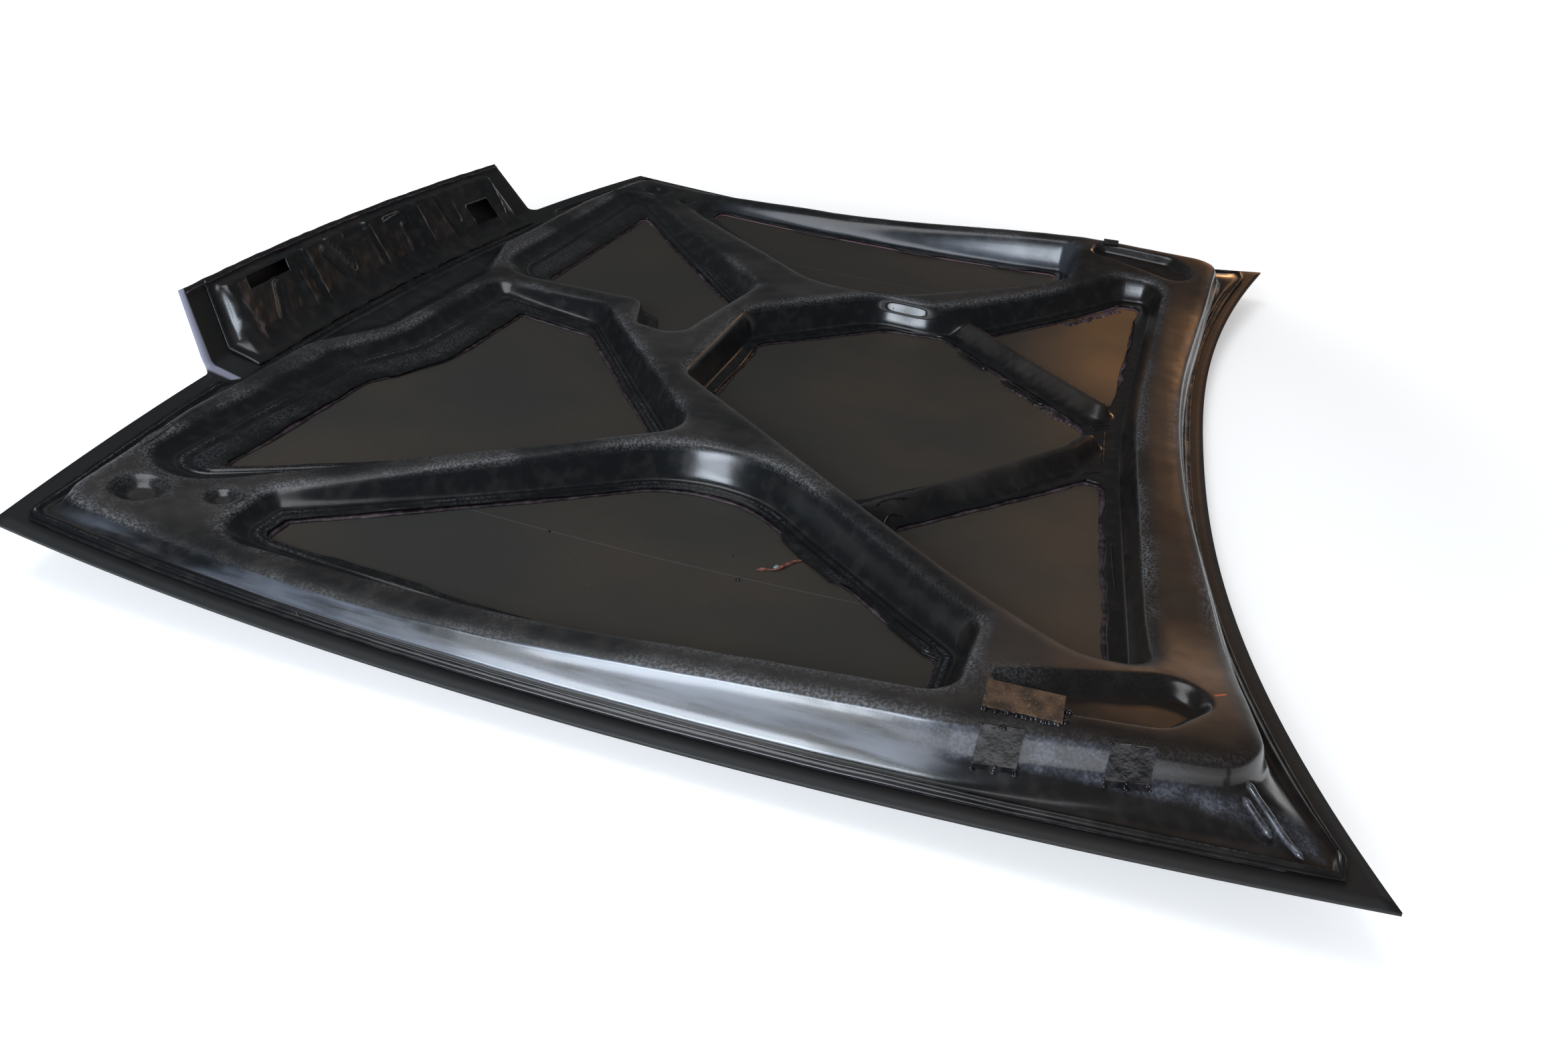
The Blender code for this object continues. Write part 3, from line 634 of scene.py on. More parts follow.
frameFinish = {
    "black": (0.006, 0.007, 0.008),
    "dusty": (0.036, 0.032, 0.029),
    # Brown is mixed in as a painted warm reflection at the rear
    "brown": (0.016, 0.009, 0.005),
    # The next two colours are painted bluish highlights
    "mistHighlight": (0.11, 0.125, 0.155),
    "frostHighlight": (0.10, 0.108, 0.135),
    "rub": (0.11, 0.115, 0.125),
    "orange": (0.42, 0.07, 0.02),
    "orangeMark": [((-0.563, 0.113), (-0.557, 0.105))],
    "cracks": [((-0.695, 0.821), (-0.702, 0.808)), ((-0.702, 0.808), (-0.713, 0.805))],
    "gloss": 0.22,
    "specular": 0.42,
    "coatGloss": 0.16,
    "crack": (0.001, 0.001, 0.001),
    # Where each look fades in and out, in metres across, along and up the part
    "warmGlowAlong": (-0.15, -0.55),
    "railAcross": ((-0.655, -0.672), (-0.722, -0.704)),
    "mistHighlightAlong": ((0.47, 0.40), (-0.34, -0.27)),
    "mistHighlightFull": (0.34, 0.10),
    "frostHighlightAlong": (-0.27, -0.31),
    "frostHighlightAbove": (0.050, 0.055),
    "farAcross": ((0.602, 0.618), (0.650, 0.636)),
    "farAlong": ((-0.36, -0.26), (0.36, 0.20)),
    "sheenAlong": ((0.50, 0.16), (-0.36, -0.24)),
    "beadAcross": (-0.684, -0.694),
    "beadAlong": (0.40, 0.10),
}


def between(wire, limits):
    # 1 between two fades, each given as (none, full)
    return wire.band(*limits[0]) * wire.band(*limits[1])


def frameMaterial():
    material, tree, shader, place = newMaterial("frame moulding")
    look = frameFinish
    x = place.axis(0)
    y = place.axis(1)
    z = place.axis(2)
    rubbed = attribute(place, "rubbed")
    wall = attribute(place, "wall")
    low = attribute(place, "low")
    patches = place.noise(7.0, 4.0)
    fine = place.noise(60.0, 4.0)
    speckle = place.noise(420.0, 3.0)
    brushed = place.noise(60.0, 4.0, (1.0, 0.10, 1.0))
    topFace = (1.0 - wall - low).clamped()
    dust = (topFace * patches.band(0.35, 0.65) * 0.75 + fine.band(0.45, 0.7) * 0.25).clamped()
    base = dust.colour(look["black"], look["dusty"])
    # Painted warm reflection: brown towards the rear, strongest on the top faces
    warmToneAndGlow = y.band(*look["warmGlowAlong"]) * (0.45 + 0.55 * topFace)
    base = (warmToneAndGlow * 0.7).colour(base, look["brown"])
    # Painted bluish highlights: misty streaks along the near rail, and frosty patches on its steep rear
    # wall
    nearRail = between(x, look["railAcross"]) * wall
    mistHighlight = nearRail * between(y, look["mistHighlightAlong"]) * brushed.band(0.36, 0.66)
    mistHighlight = mistHighlight * (0.8 + 0.2 * y.band(*look["mistHighlightFull"]))
    steepRear = nearRail * y.band(*look["frostHighlightAlong"]) * z.band(*look["frostHighlightAbove"])
    frostHighlight = steepRear * (0.40 + 0.60 * fine.band(0.42, 0.58)) * (0.4 + 0.6 * speckle.band(0.40, 0.60))
    base = (mistHighlight * 0.8).colour(base, look["mistHighlight"])
    base = (frostHighlight * 0.75).colour(base, look["frostHighlight"])
    # A painted bluish highlight on the outer wall of the far side pocket
    farWall = between(x, look["farAcross"]) * wall * between(y, look["farAlong"])
    base = (farWall * (0.35 + 0.45 * patches.band(0.4, 0.6))).colour(base, look["mistHighlight"])
    scuffs = rubbed * (0.15 + 0.85 * patches.band(0.44, 0.60)) * speckle.band(0.42, 0.62)
    base = (scuffs * 0.9).clamped().colour(base, look["rub"])
    cracks = strokes(x, y, look["cracks"], 0.0007) + attribute(place, "seam").band(0.5, 0.9)
    base = (cracks * 0.8).clamped().colour(base, look["crack"])
    base = strokes(x, y, look["orangeMark"], 0.0016).colour(base, look["orange"])
    rough = look["gloss"] + topFace * 0.16 + dust * 0.12 + (mistHighlight + frostHighlight) * 0.10 + (fine - 0.5) * 0.08
    grain = place.noise(900.0, 2.0) * 0.15 + speckle * 0.25 + fine * 0.8 + brushed * 0.3 - cracks * 2.0
    normal = bumped(grain, 0.25, 0.0006)
    # A wet sheen with frayed ends along the near rail
    frayed = (patches * 0.55 + brushed * 0.45).band(0.42, 0.53)
    sheen = nearRail * between(y, look["sheenAlong"]) * (0.08 + 0.92 * frayed)
    beadShine = x.band(*look["beadAcross"]) * low * y.band(*look["beadAlong"])
    coat = (sheen + steepRear * 0.5 + beadShine * 0.7 + wall * 0.25).clamped()
    feed(tree, shader, Base_Color=base, Roughness=rough.clamped(), Normal=normal, Coat_Weight=coat)
    shader.inputs["Coat Roughness"].default_value = look["coatGloss"]
    shader.inputs["Specular IOR Level"].default_value = look["specular"]
    return material


skinFinish = {
    "inner": (0.032, 0.032, 0.029),
    # The next two colours carry a painted warm glow towards the rear, the first also a random brown tone
    "innerBrown": (0.050, 0.039, 0.029),
    "rearGlow": (0.170, 0.085, 0.036),
    "outer": (0.008, 0.008, 0.009),
    "scratch": (0.10, 0.10, 0.11),
    "lip": (0.008, 0.009, 0.010),
    "paleEdge": (0.25, 0.25, 0.32),
    "creases": [((-0.470, 0.930), (-0.463, 0.300)), ((0.4575, 0.930), (0.4575, 0.300))],
    "specular": 0.3,
    # Where each look fades in, in metres across and along the part
    "glowAlong": (-0.24, -0.40),
    "glowAcross": (-0.05, 0.26),
    "lipAcross": ((-0.668, -0.676), (0.668, 0.676)),
    "lipAlong": ((-0.440, -0.450), (0.470, 0.480)),
    # The pale side edge of the tongue: its place at the fold, height there, lean and fades
    "edgeAcross": 0.3695,
    "edgeHeight": 0.046,
    "edgeLean": 0.33,
    "edgeWidth": (0.0035, 0.0005),
    "edgeAlong": (0.500, 0.512),
    "edgeEnds": (-0.379, -0.373),
}


def skinInnerMaterial():
    material, tree, shader, place = newMaterial("skin inside")
    look = skinFinish
    x = place.axis(0)
    y = place.axis(1)
    patches = place.noise(5.0, 5.0)
    weave = place.noise(140.0, 3.0, (1.0, 0.35, 1.0))
    dots = place.noise(500.0, 2.0)
    # A random brown tone in patches, with a painted warm glow towards the rear and the far side
    warmToneAndGlow = (patches.band(0.35, 0.7) * 0.6 + y.band(0.1, -0.5) * 0.5 + x.band(-0.1, 0.6) * 0.2).clamped()
    base = warmToneAndGlow.colour(look["inner"], look["innerBrown"])
    # A stronger painted warm glow over the rear floors
    rear = y.band(*look["glowAlong"]) * (0.12 + 0.88 * x.band(*look["glowAcross"]))
    base = (rear * (0.6 + 0.4 * patches.band(0.3, 0.6))).colour(base, look["rearGlow"])
    marks = dots.band(0.66, 0.74) * patches.band(0.45, 0.6)
    base = (marks * 0.5).colour(base, look["scratch"])
    lip = x.band(*look["lipAcross"][0]) + x.band(*look["lipAcross"][1])
    lip = lip + y.band(*look["lipAlong"][0]) + y.band(*look["lipAlong"][1])
    base = (lip.clamped() * 0.85).colour(base, look["lip"])
    creases = strokes(x, y, look["creases"], 0.0009)
    base = (creases * 0.45).colour(base, look["scratch"])
    # A thin pale bluish band along the near side edge of the tongue
    z = place.axis(2)
    besideTongue = x + look["edgeAcross"] - (z - look["edgeHeight"]) * look["edgeLean"]
    pale = besideTongue.band(*look["edgeWidth"]) * y.band(*look["edgeAlong"]) * x.band(*look["edgeEnds"])
    base = (pale * 0.9).colour(base, look["paleEdge"])
    rough = 0.50 + (patches - 0.5) * 0.25 + (weave - 0.5) * 0.1
    normal = bumped(weave * 0.7 + dots * 0.3 + creases, 0.3, 0.0005)
    feed(tree, shader, Base_Color=base, Roughness=rough.clamped(), Normal=normal)
    shader.inputs["Specular IOR Level"].default_value = look["specular"]
    return material


def skinOuterMaterial():
    material, tree, shader, place = newMaterial("skin outside paint")
    patches = place.noise(4.0, 3.0)
    scratches = place.noise(160.0, 2.0, (1.0, 0.05, 1.0)).band(0.68, 0.74)
    base = (scratches * 0.4).colour(skinFinish["outer"], skinFinish["scratch"])
    rough = 0.12 + patches * 0.1 + scratches * 0.2
    normal = bumped(place.noise(300.0, 2.0), 0.06, 0.0004)
    feed(tree, shader, Base_Color=base, Roughness=rough.clamped(), Normal=normal)
    return material


pasteFinish = {
    # The hollow colour is painted shade in the hollows between the lumps
    "hollow": (0.010, 0.007, 0.009),
    "lump": (0.050, 0.034, 0.042),
    "streak": (0.12, 0.09, 0.10),
    "pink": (0.15, 0.085, 0.10),
    "pinkAcross": (0.40, 0.56),
}


def pasteMaterial():
    material, tree, shader, place = newMaterial("bonding paste")
    look = pasteFinish
    lumps = place.noise(110.0, 4.0)
    streaks = place.noise(30.0, 3.0)
    # Painted shade: darker in the hollows between the lumps of the bump
    base = lumps.band(0.35, 0.7).colour(look["hollow"], look["lump"])
    base = (streaks.band(0.55, 0.7) * 0.4).colour(base, look["streak"])
    base = (place.axis(0).band(*look["pinkAcross"]) * 0.6).colour(base, look["pink"])
    normal = bumped(lumps * 0.8 + place.noise(420.0, 2.0) * 0.3, 0.8, 0.0015)
    feed(tree, shader, Base_Color=base, Roughness=0.34 + streaks * 0.2, Normal=normal)
    return material


plateFinish = {
    "grime": (0.035, 0.022, 0.015),
    "brown": (0.10, 0.055, 0.030),
    "fleck": (0.20, 0.15, 0.11),
}


def plateMaterial():
    material, tree, shader, place = newMaterial("worn plate")
    grime = place.noise(60.0, 4.0)
    flecks = place.noise(500.0, 3.0)
    base = grime.band(0.35, 0.65).colour(plateFinish["grime"], plateFinish["brown"])
    base = (flecks.band(0.58, 0.7) * 0.5).colour(base, plateFinish["fleck"])
    normal = bumped(grime * 0.5 + flecks * 0.5, 0.4, 0.0005)
    feed(tree, shader, Base_Color=base, Roughness=0.35 + grime * 0.25, Normal=normal)
    return material


resinFinish = {"black": (0.005, 0.005, 0.006), "grey": (0.028, 0.025, 0.028)}


def resinMaterial():
    material, tree, shader, place = newMaterial("wet resin")
    lumps = place.noise(75.0, 3.0)
    base = lumps.band(0.45, 0.75).colour(resinFinish["black"], resinFinish["grey"])
    normal = bumped(lumps + place.noise(260.0, 2.0) * 0.2, 0.45, 0.0016)
    feed(tree, shader, Base_Color=base, Roughness=0.08 + lumps * 0.12, Normal=normal)
    return material


strandFinish = {"dark": (0.10, 0.035, 0.025), "red": (0.24, 0.10, 0.07), "teal": (0.16, 0.21, 0.21)}


def strandMaterial():
    material, tree, shader, place = newMaterial("torn strand")
    grain = place.noise(300.0, 3.0)
    base = grain.band(0.35, 0.65).colour(strandFinish["dark"], strandFinish["red"])
    base = attribute(place, "teal").colour(base, strandFinish["teal"])
    feed(tree, shader, Base_Color=base, Roughness=0.45 + grain * 0.2, Normal=bumped(grain, 0.6, 0.0008))
    return material


slotFinish = {"dark": (0.13, 0.12, 0.16), "pale": (0.30, 0.28, 0.35)}


def slotMaterial():
    material, tree, shader, place = newMaterial("inside of the slot")
    grain = place.noise(120.0, 3.0)
    base = grain.band(0.3, 0.7).colour(slotFinish["dark"], slotFinish["pale"])
    feed(tree, shader, Base_Color=base, Roughness=0.4 + grain * 0.2, Normal=bumped(grain, 0.3, 0.0006))
    return material


finishes = {
    "strand": strandMaterial(),
    "slot": slotMaterial(),
    "frame": frameMaterial(),
    "skinInner": skinInnerMaterial(),
    "skinOuter": skinOuterMaterial(),
    "paste": pasteMaterial(),
    "plate": plateMaterial(),
    "resin": resinMaterial(),
}
print("materials made")


# Inner frame

wallLevels = (0.0, 0.07, 0.17, 0.28, 0.40, 0.52, 0.64, 0.75, 0.85, 0.93, 1.0)
flangeBead = {
    "reach": 0.009,
    "height": 0.0019,
    "pad": 0.0016,
    "broadFrom": 0.016,
    "broadOver": 0.012,
    "ease": 0.016,
    "curl": 0.0006,
    "torn": 0.0011,
    "profile": [(0.22, 0.0), (0.40, 0.7), (0.55, 1.0), (0.70, 0.7), (0.90, 0.0)],
    "padProfile": [
        (0.12, 0.0),
        (0.22, 0.9),
        (0.35, 1.0),
        (0.60, 1.0),
        (0.74, 0.9),
        (0.84, 0.1),
        (0.94, 0.0),
    ],
}
boxRail = {"end": 0.315, "blend": 0.030, "knee": 0.010, "fall": 0.66, "foot": 0.013}


def easedFall(share, start):
    # Share of the fall at each share of the run, leaving the rim at the given slope
    return (share**3 - 2 * share**2 + share) * start + 3 * share**2 - 2 * share**3


def pocketWall(sheet, name, seed, flanged=True):
    rim, run = outlines[name], wallRun[name]
    plan = samplePlan(rim)
    corners = len(rim)
    rings = []
    for distance in (*plateau["shoulderRings"], 0.0):
        flat = drawn(inset(rim, [-distance] * corners), plan)
        worn = 1 - distance / plateau["shoulderReach"]
        rings.append(sheet.ring(flat, topZ(flat[:, 0], flat[:, 1], distance), rubbed=worn))
    top = drawn(rim, plan)
    foot = inset(rim, run)
    bottom = drawn(foot, plan)
    high = topZ(top[:, 0], top[:, 1], 0.0)
    low = floorZ(bottom[:, 0], bottom[:, 1])
    length = np.linalg.norm(bottom - top, axis=1)
    start = 2 * plateau["shoulderDrop"] / plateau["shoulderReach"] * length / (high - low)
    for share in wallLevels[1:]:
        flat = mix(top, bottom, share)
        height = mix(high, low, easedFall(share, start))
        rubbed = max(0.0, 1 - share / 0.25)
        wall = min(1.0, share / 0.2) * min(1.0, (1 - share) / 0.12)
        rings.append(sheet.ring(flat, height, rubbed=rubbed, wall=wall, low=float(share == 1.0)))
    if flanged:
        width = flangeWidth[name]
        edge = drawn(inset(foot, width), plan)
        count = len(edge)
        ragged = jitter(count, count // 3, seed) + 0.7 * jitter(count, count // 9, seed + 1)
        inwards = -outwardsOf(edge)
        for x, y, reach, amount in flangeJogs[name]:
            away = np.hypot(edge[:, 0] - x, edge[:, 1] - y)
            edge = edge + inwards * (amount * smooth((reach - away) / flangeBead["ease"]))[:, None]
        curl = flangeBead["curl"] * jitter(count, count // 5, seed + 2)
        broad = np.linalg.norm(edge - bottom, axis=1)
        pad = flangeBead["pad"] * np.clip((broad - flangeBead["broadFrom"]) / flangeBead["broadOver"], 0, 1)
        ridge = flangeBead["height"] * (0.55 + 0.45 * jitter(count, count // 12, seed + 3))
        reach = np.minimum(flangeBead["reach"] / np.maximum(broad, 1e-6), 0.8)
        for share, up in flangeBead["profile"]:
            flat = bottom + (edge - bottom) * (reach * share)[:, None]
            height = floorZ(flat[:, 0], flat[:, 1]) + ridge * up
            rings.append(sheet.ring(flat, height, low=1.0, rubbed=0.5 * up))
        for share, up in flangeBead["padProfile"]:
            at = reach + (1 - reach) * share
            flat = bottom + (edge - bottom) * at[:, None]
            height = floorZ(flat[:, 0], flat[:, 1]) + pad * up + curl * share**2
            rings.append(sheet.ring(flat, height, low=1.0, rubbed=0.3 * up))
        flat = edge + inwards * (ragged * flangeBead["torn"])[:, None]
        height = floorZ(flat[:, 0], flat[:, 1]) + curl - 0.0003
        rings.append(sheet.ring(flat, height, low=1.0))
    for outer, inner in zip(rings, rings[1:]):
        sheet.band(outer, inner)
    return rings


recesses = {
    "shoulder": (0.0045, 0.002),
    "rimDrop": 0.0008,
    "wallShares": (0.0, 0.12, 0.28, 0.46, 0.64, 0.82, 0.94, 1.0),
    "hingeDepth": 0.013,
    "clearOfRims": 9.0,
    # Place, radius and depth of the round dimples at the front corners
    "dimples": [(0.612, 1.036, 0.024, 0.009), (0.588, 0.971, 0.014, 0.005)],
}


def dish(sheet, corners, run, depth, spacing=0.007):
    plan = samplePlan(corners)
    rings = []
    count = len(corners)
    far, drop = recesses["clearOfRims"], recesses["rimDrop"]
    for distance in recesses["shoulder"]:
        flat = drawn(inset(corners, [-distance] * count), plan)
        height = topZ(flat[:, 0], flat[:, 1], far) - drop / 2 * (1 - distance / recesses["shoulder"][0])
        rings.append(sheet.ring(flat, height, rubbed=0.3))
    top = drawn(corners, plan)
    bottom = drawn(inset(corners, run), plan)
    high = topZ(top[:, 0], top[:, 1], far) - drop
    low = topZ(bottom[:, 0], bottom[:, 1], far) - depth
    for share in recesses["wallShares"]:
        height = mix(high, low, easedFall(share, 0.5))
        wall = 0.9 * min(1.0, (1 - share) / 0.2)
        rings.append(sheet.ring(mix(top, bottom, share), height, rubbed=0.3 - share * 0.3, wall=wall))
    for outer, inner in zip(rings, rings[1:]):
        sheet.band(outer, inner)

    def floor(points, away):
        return topZ(points[:, 0], points[:, 1], far) - depth, {"wall": 0.15}

    sheet.web(rings[-1], [], floor, spacing, spacing * 0.5)
    return rings[0]


def circle(x, y, radius):
    return [(x + radius * i, y + radius * j, radius) for i, j in ((-1, -1), (1, -1), (1, 1), (-1, 1))]


frameEdge = {
    "sideLip": 0.016,
    "rearLip": 0.016,
    "frontLip": 0.020,
    "noseLip": 0.034,
    "mostReach": 0.25,
    "slopeShares": (0.0, 0.06, 0.14, 0.24, 0.34, 0.43, 0.5, 0.56, 0.66, 0.78, 0.90, 1.0),
    # Bead round the frame: how far its rings, crest and crack lie inside the edge
    "beadRings": (0.0110, 0.0096, 0.0082, 0.0070, 0.0058, 0.0044, 0.0030, 0.0012, 0.0),
    "beadCrest": 0.0070,
    "beadHalf": 0.0032,
    "beadHeight": 0.0026,
    "crack": 0.0030,
}
tongue = {
    "baseHalf": 0.371,
    "topHalf": 0.345,
    "corner": 0.014,
    "bendRadius": 0.012,
    "angle": math.radians(60),
    "straight": 0.0772,
}


def covers(points):
    x, y = points[:, 0], points[:, 1]
    corner = tongue["corner"]
    nearNose = smooth((tongue["baseHalf"] + 2 * corner - np.abs(x)) / (2 * corner))
    lip = mix(frameEdge["frontLip"], frameEdge["noseLip"], nearNose)
    lengthways = (y > rearEdge(x) + frameEdge["rearLip"]) & (y < frontEdge(x) - lip)
    return lengthways & (np.abs(x) < sideHalf(y) - frameEdge["sideLip"])


def edgeOf(top):
    outwards = outwardsOf(top)
    low = np.zeros(len(top))
    high = np.full(len(top), frameEdge["mostReach"])
    for _ in range(30):
        reach = (low + high) / 2
        inside = covers(top + outwards * reach[:, None])
        low = np.where(inside, reach, low)
        high = np.where(inside, high, reach)
    return top + outwards * low[:, None]


def outerSlope(sheet):
    corners = outlines["edge"]
    plan = samplePlan(corners)
    rings = []
    for distance in plateau["shoulderRings"]:
        flat = drawn(inset(corners, [distance] * len(corners)), plan)
        worn = 1 - distance / plateau["shoulderReach"]
        rings.append(sheet.ring(flat, topZ(flat[:, 0], flat[:, 1], distance), rubbed=worn))
    top = drawn(corners, plan)
    edge = edgeOf(top)
    span = edge - top
    length = np.linalg.norm(span, axis=1)
    along = span / length[:, None]
    slope = length - boxRail["foot"]
    boxy = smooth((boxRail["end"] - top[:, 1]) / boxRail["blend"])
    foot = top + along * slope[:, None]
    high = topZ(top[:, 0], top[:, 1], 0.0)
    low = floorZ(foot[:, 0], foot[:, 1])
    start = 2 * plateau["shoulderDrop"] / plateau["shoulderReach"] * slope / (high - low)
    for share in frameEdge["slopeShares"]:
        toKnee = min(share / 0.5, 1.0)
        past = max(share - 0.5, 0.0) * 2
        boxRun = mix(boxRail["knee"] * toKnee / slope, 1.0, past)
        boxFall = boxRail["fall"] * easedFall(toKnee, 0.25) if past == 0 else 0
        boxFall = mix(boxRail["fall"], 1.0, 1 - (1 - past) ** 1.7) if past else boxFall
        run = mix(share, boxRun, boxy)
        fall = mix(easedFall(share, start), boxFall, boxy)
        flat = top + along * (slope * run)[:, None]
        rubbed = max(0.0, 1 - share / 0.2)
        wall = min(1.0, share / 0.1) * min(1.0, (1 - share) / 0.1)
        rings.append(sheet.ring(flat, mix(high, low, fall), rubbed=rubbed, wall=wall))
    crest, half = frameEdge["beadCrest"], frameEdge["beadHalf"]
    for distance in frameEdge["beadRings"]:
        flat = edge - along * distance
        lift = frameEdge["beadHeight"] * smooth(1 - abs(distance - crest) / half)
        height = floorZ(flat[:, 0], flat[:, 1]) + lift
        crack = float(distance == frameEdge["crack"]) * (jitter(len(top), len(top) // 4, 61) > -0.2)
        rubbed = 0.5 * float(distance == crest)
        rings.append(sheet.ring(flat, height, low=1.0, rubbed=rubbed, seam=crack))
    for inner, outer in zip(rings, rings[1:]):
        sheet.band(outer, inner)
    return rings[0]


wallSlot = {
    "middle": (0.287, 0.512),
    "steps": 5,
    "around": 30,
    "bluntEnds": 0.45,
    "bluntSides": 0.8,
    # Size against the outermost ring, and height off the wall
    "rings": [(1.0, -0.0004), (1.0, 0.0009), (0.86, 0.0014), (0.74, 0.0009), (0.62, 0.0002), (0.3, 0.0003)],
}


def slotInWall(upper, lower):
    # An oblong slot high in the far wall of the rear bay
    look = wallSlot
    nearest = int(np.hypot(upper[:, 0] - look["middle"][0], upper[:, 1] - look["middle"][1]).argmin())
    span = np.arange(-look["steps"], look["steps"] + 1)
    strip = (nearest + span) % len(upper)
    high, low = upper[strip], lower[strip]
    angles = np.linspace(0, 2 * math.pi, look["around"], endpoint=False)
    wide = np.sign(np.cos(angles)) * np.abs(np.cos(angles)) ** look["bluntEnds"]
    tall = np.sign(np.sin(angles)) * np.abs(np.sin(angles)) ** look["bluntSides"]
    middle = look["steps"]
    outwards = unit(np.cross(high[-1] - high[0], low[middle] - high[middle]))
    outwards = outwards * math.copysign(1, outwards[2])
    marks = np.arange(len(strip))
    rings = []
    for share, lift in look["rings"]:
        at = (wide * share * 0.97 + 1) / 2 * (len(strip) - 1)
        across = (tall * share + 1) / 2
        above = np.stack([np.interp(at, marks, high[:, i]) for i in range(3)], axis=1)
        below = np.stack([np.interp(at, marks, low[:, i]) for i in range(3)], axis=1)
        rings.append(mix(above, below, across[:, None]) + outwards * lift)
    inside = [ring - outwards * 0.0003 for ring in rings[4:]]
    makeRings("wallSlot.rim", rings[:5], finishes["frame"], False)
    makeRings("wallSlot.inside", inside, finishes["slot"], True)


def quads(here, there):
    # Faces between two rings of points, by their numbers
    return np.column_stack([here, np.roll(here, -1), np.roll(there, -1), there]).tolist()


def makeRings(name, rings, finish, filled):
    count = len(rings[0])
    faces = []
    for number in range(len(rings) - 1):
        outer = number * count + np.arange(count)
        faces += quads(outer, outer + count)
    if filled:
        faces.append(list(range((len(rings) - 1) * count, len(rings) * count)))
    return makePiece(name, np.concatenate(rings), faces, [finish], [], 0.0004)


bayEdge = {"torn": 0.0012, "rearTorn": 0.0024, "rearBelow": 0.240}


def innerFrame():
    sheet = Sheet()
    border = outerSlope(sheet)
    holes = []
    for number, name in enumerate(("frontNear", "frontFar", "sideNear", "sideFar")):
        holes.append(pocketWall(sheet, name, 20 + 5 * number)[0])
    bay = pocketWall(sheet, "rearBay", 50, False)
    holes.append(bay[0])
    recess, run = outlines["hingeRecess"], wallRun["hingeRecess"]
    holes.append(dish(sheet, recess, run, recesses["hingeDepth"]))
    holes.append(dish(sheet, mirrored(recess), mirroredSides(run), recesses["hingeDepth"]))
    for x, y, radius, depth in recesses["dimples"]:
        for sign in (-1, 1):
            holes.append(dish(sheet, circle(sign * x, y, radius), [radius * 0.6] * 4, depth, 0.004))

    def level(points, away):
        x, y = points[:, 0], points[:, 1]
        fromRim = away + plateau["shoulderRings"][0]
        return topZ(x, y, fromRim), {"rubbed": np.clip(1 - fromRim / plateau["shoulderReach"], 0, 1)}

    sheet.web(border, holes, level, *fineness["plateauWeb"])
    lowHoles = []
    for number, name in enumerate(("centre", "rearNear", "rearFar")):
        corners = outlines[name]
        plan = samplePlan(corners)
        flat = drawn(inset(corners, [-0.004] * len(corners)), plan)
        outer = sheet.ring(flat, floorZ(flat[:, 0], flat[:, 1]), low=1.0)
        edge = drawn(corners, plan)
        count = len(edge)
        ragged = jitter(count, count // 3, 70 + number) + 0.8 * jitter(count, count // 8, 75 + number)
        torn = bayEdge["torn"] + bayEdge["rearTorn"] * smooth((bayEdge["rearBelow"] - edge[:, 1]) / 0.02)
        edge = edge - outwardsOf(edge) * (ragged * torn)[:, None]
        inner = sheet.ring(edge, floorZ(edge[:, 0], edge[:, 1]) - 0.0002, low=1.0)
        sheet.band(outer, inner)
        lowHoles.append(outer)

    def bayFloor(points, away):
        x, y = points[:, 0], points[:, 1]
        return floorZ(x, y), {"low": 1 - smooth(lowRib(x, y) / 0.006)}

    sheet.web(bay[-1], lowHoles, bayFloor, *fineness["bayWeb"])
    points = np.concatenate(sheet.points)
    slotInWall(points[bay[5]], points[bay[8]])
    return makePiece(
        "innerFrame",
        points,
        sheet.faces,
        [finishes["frame"]],
        ["inner_frame"],
        bonnet["frameThickness"],
        sheet.marks,
    )


innerFrame()
print("inner frame made")


# Outer skin with its tongue


def tonguePoint(share, run, lift=0.0):
    radius, angle = tongue["bendRadius"], tongue["angle"]
    bend = radius * angle
    turned = np.clip(run / radius, 0, angle)
    straight = np.maximum(run - bend, 0)
    flare = tongue["corner"] * (1 - np.minimum(run / bend, 1)) ** 2
    half = mix(tongue["baseHalf"], tongue["topHalf"], straight / tongue["straight"]) + flare
    x = share * half
    foldY = frontEdge(x)
    forward = radius * np.sin(turned) + straight * np.cos(turned)
    up = radius * (1 - np.cos(turned)) + straight * np.sin(turned)
    y = foldY + forward - lift * np.sin(turned)
    z = skinZ(x, foldY) + up + lift * np.cos(turned)
    return np.stack(np.broadcast_arrays(x, y, z), axis=-1)


skinDetail = {"rows": 120, "sideColumns": 24, "middleColumns": 100, "thickness": 0.0030, "torn": 0.0010}


def gridFaces(rows, columns, first=0):
    low = first + np.arange(rows - 1)[:, None] * columns + np.arange(columns - 1)
    return np.stack([low, low + 1, low + columns + 1, low + columns], axis=-1).reshape(-1, 4)


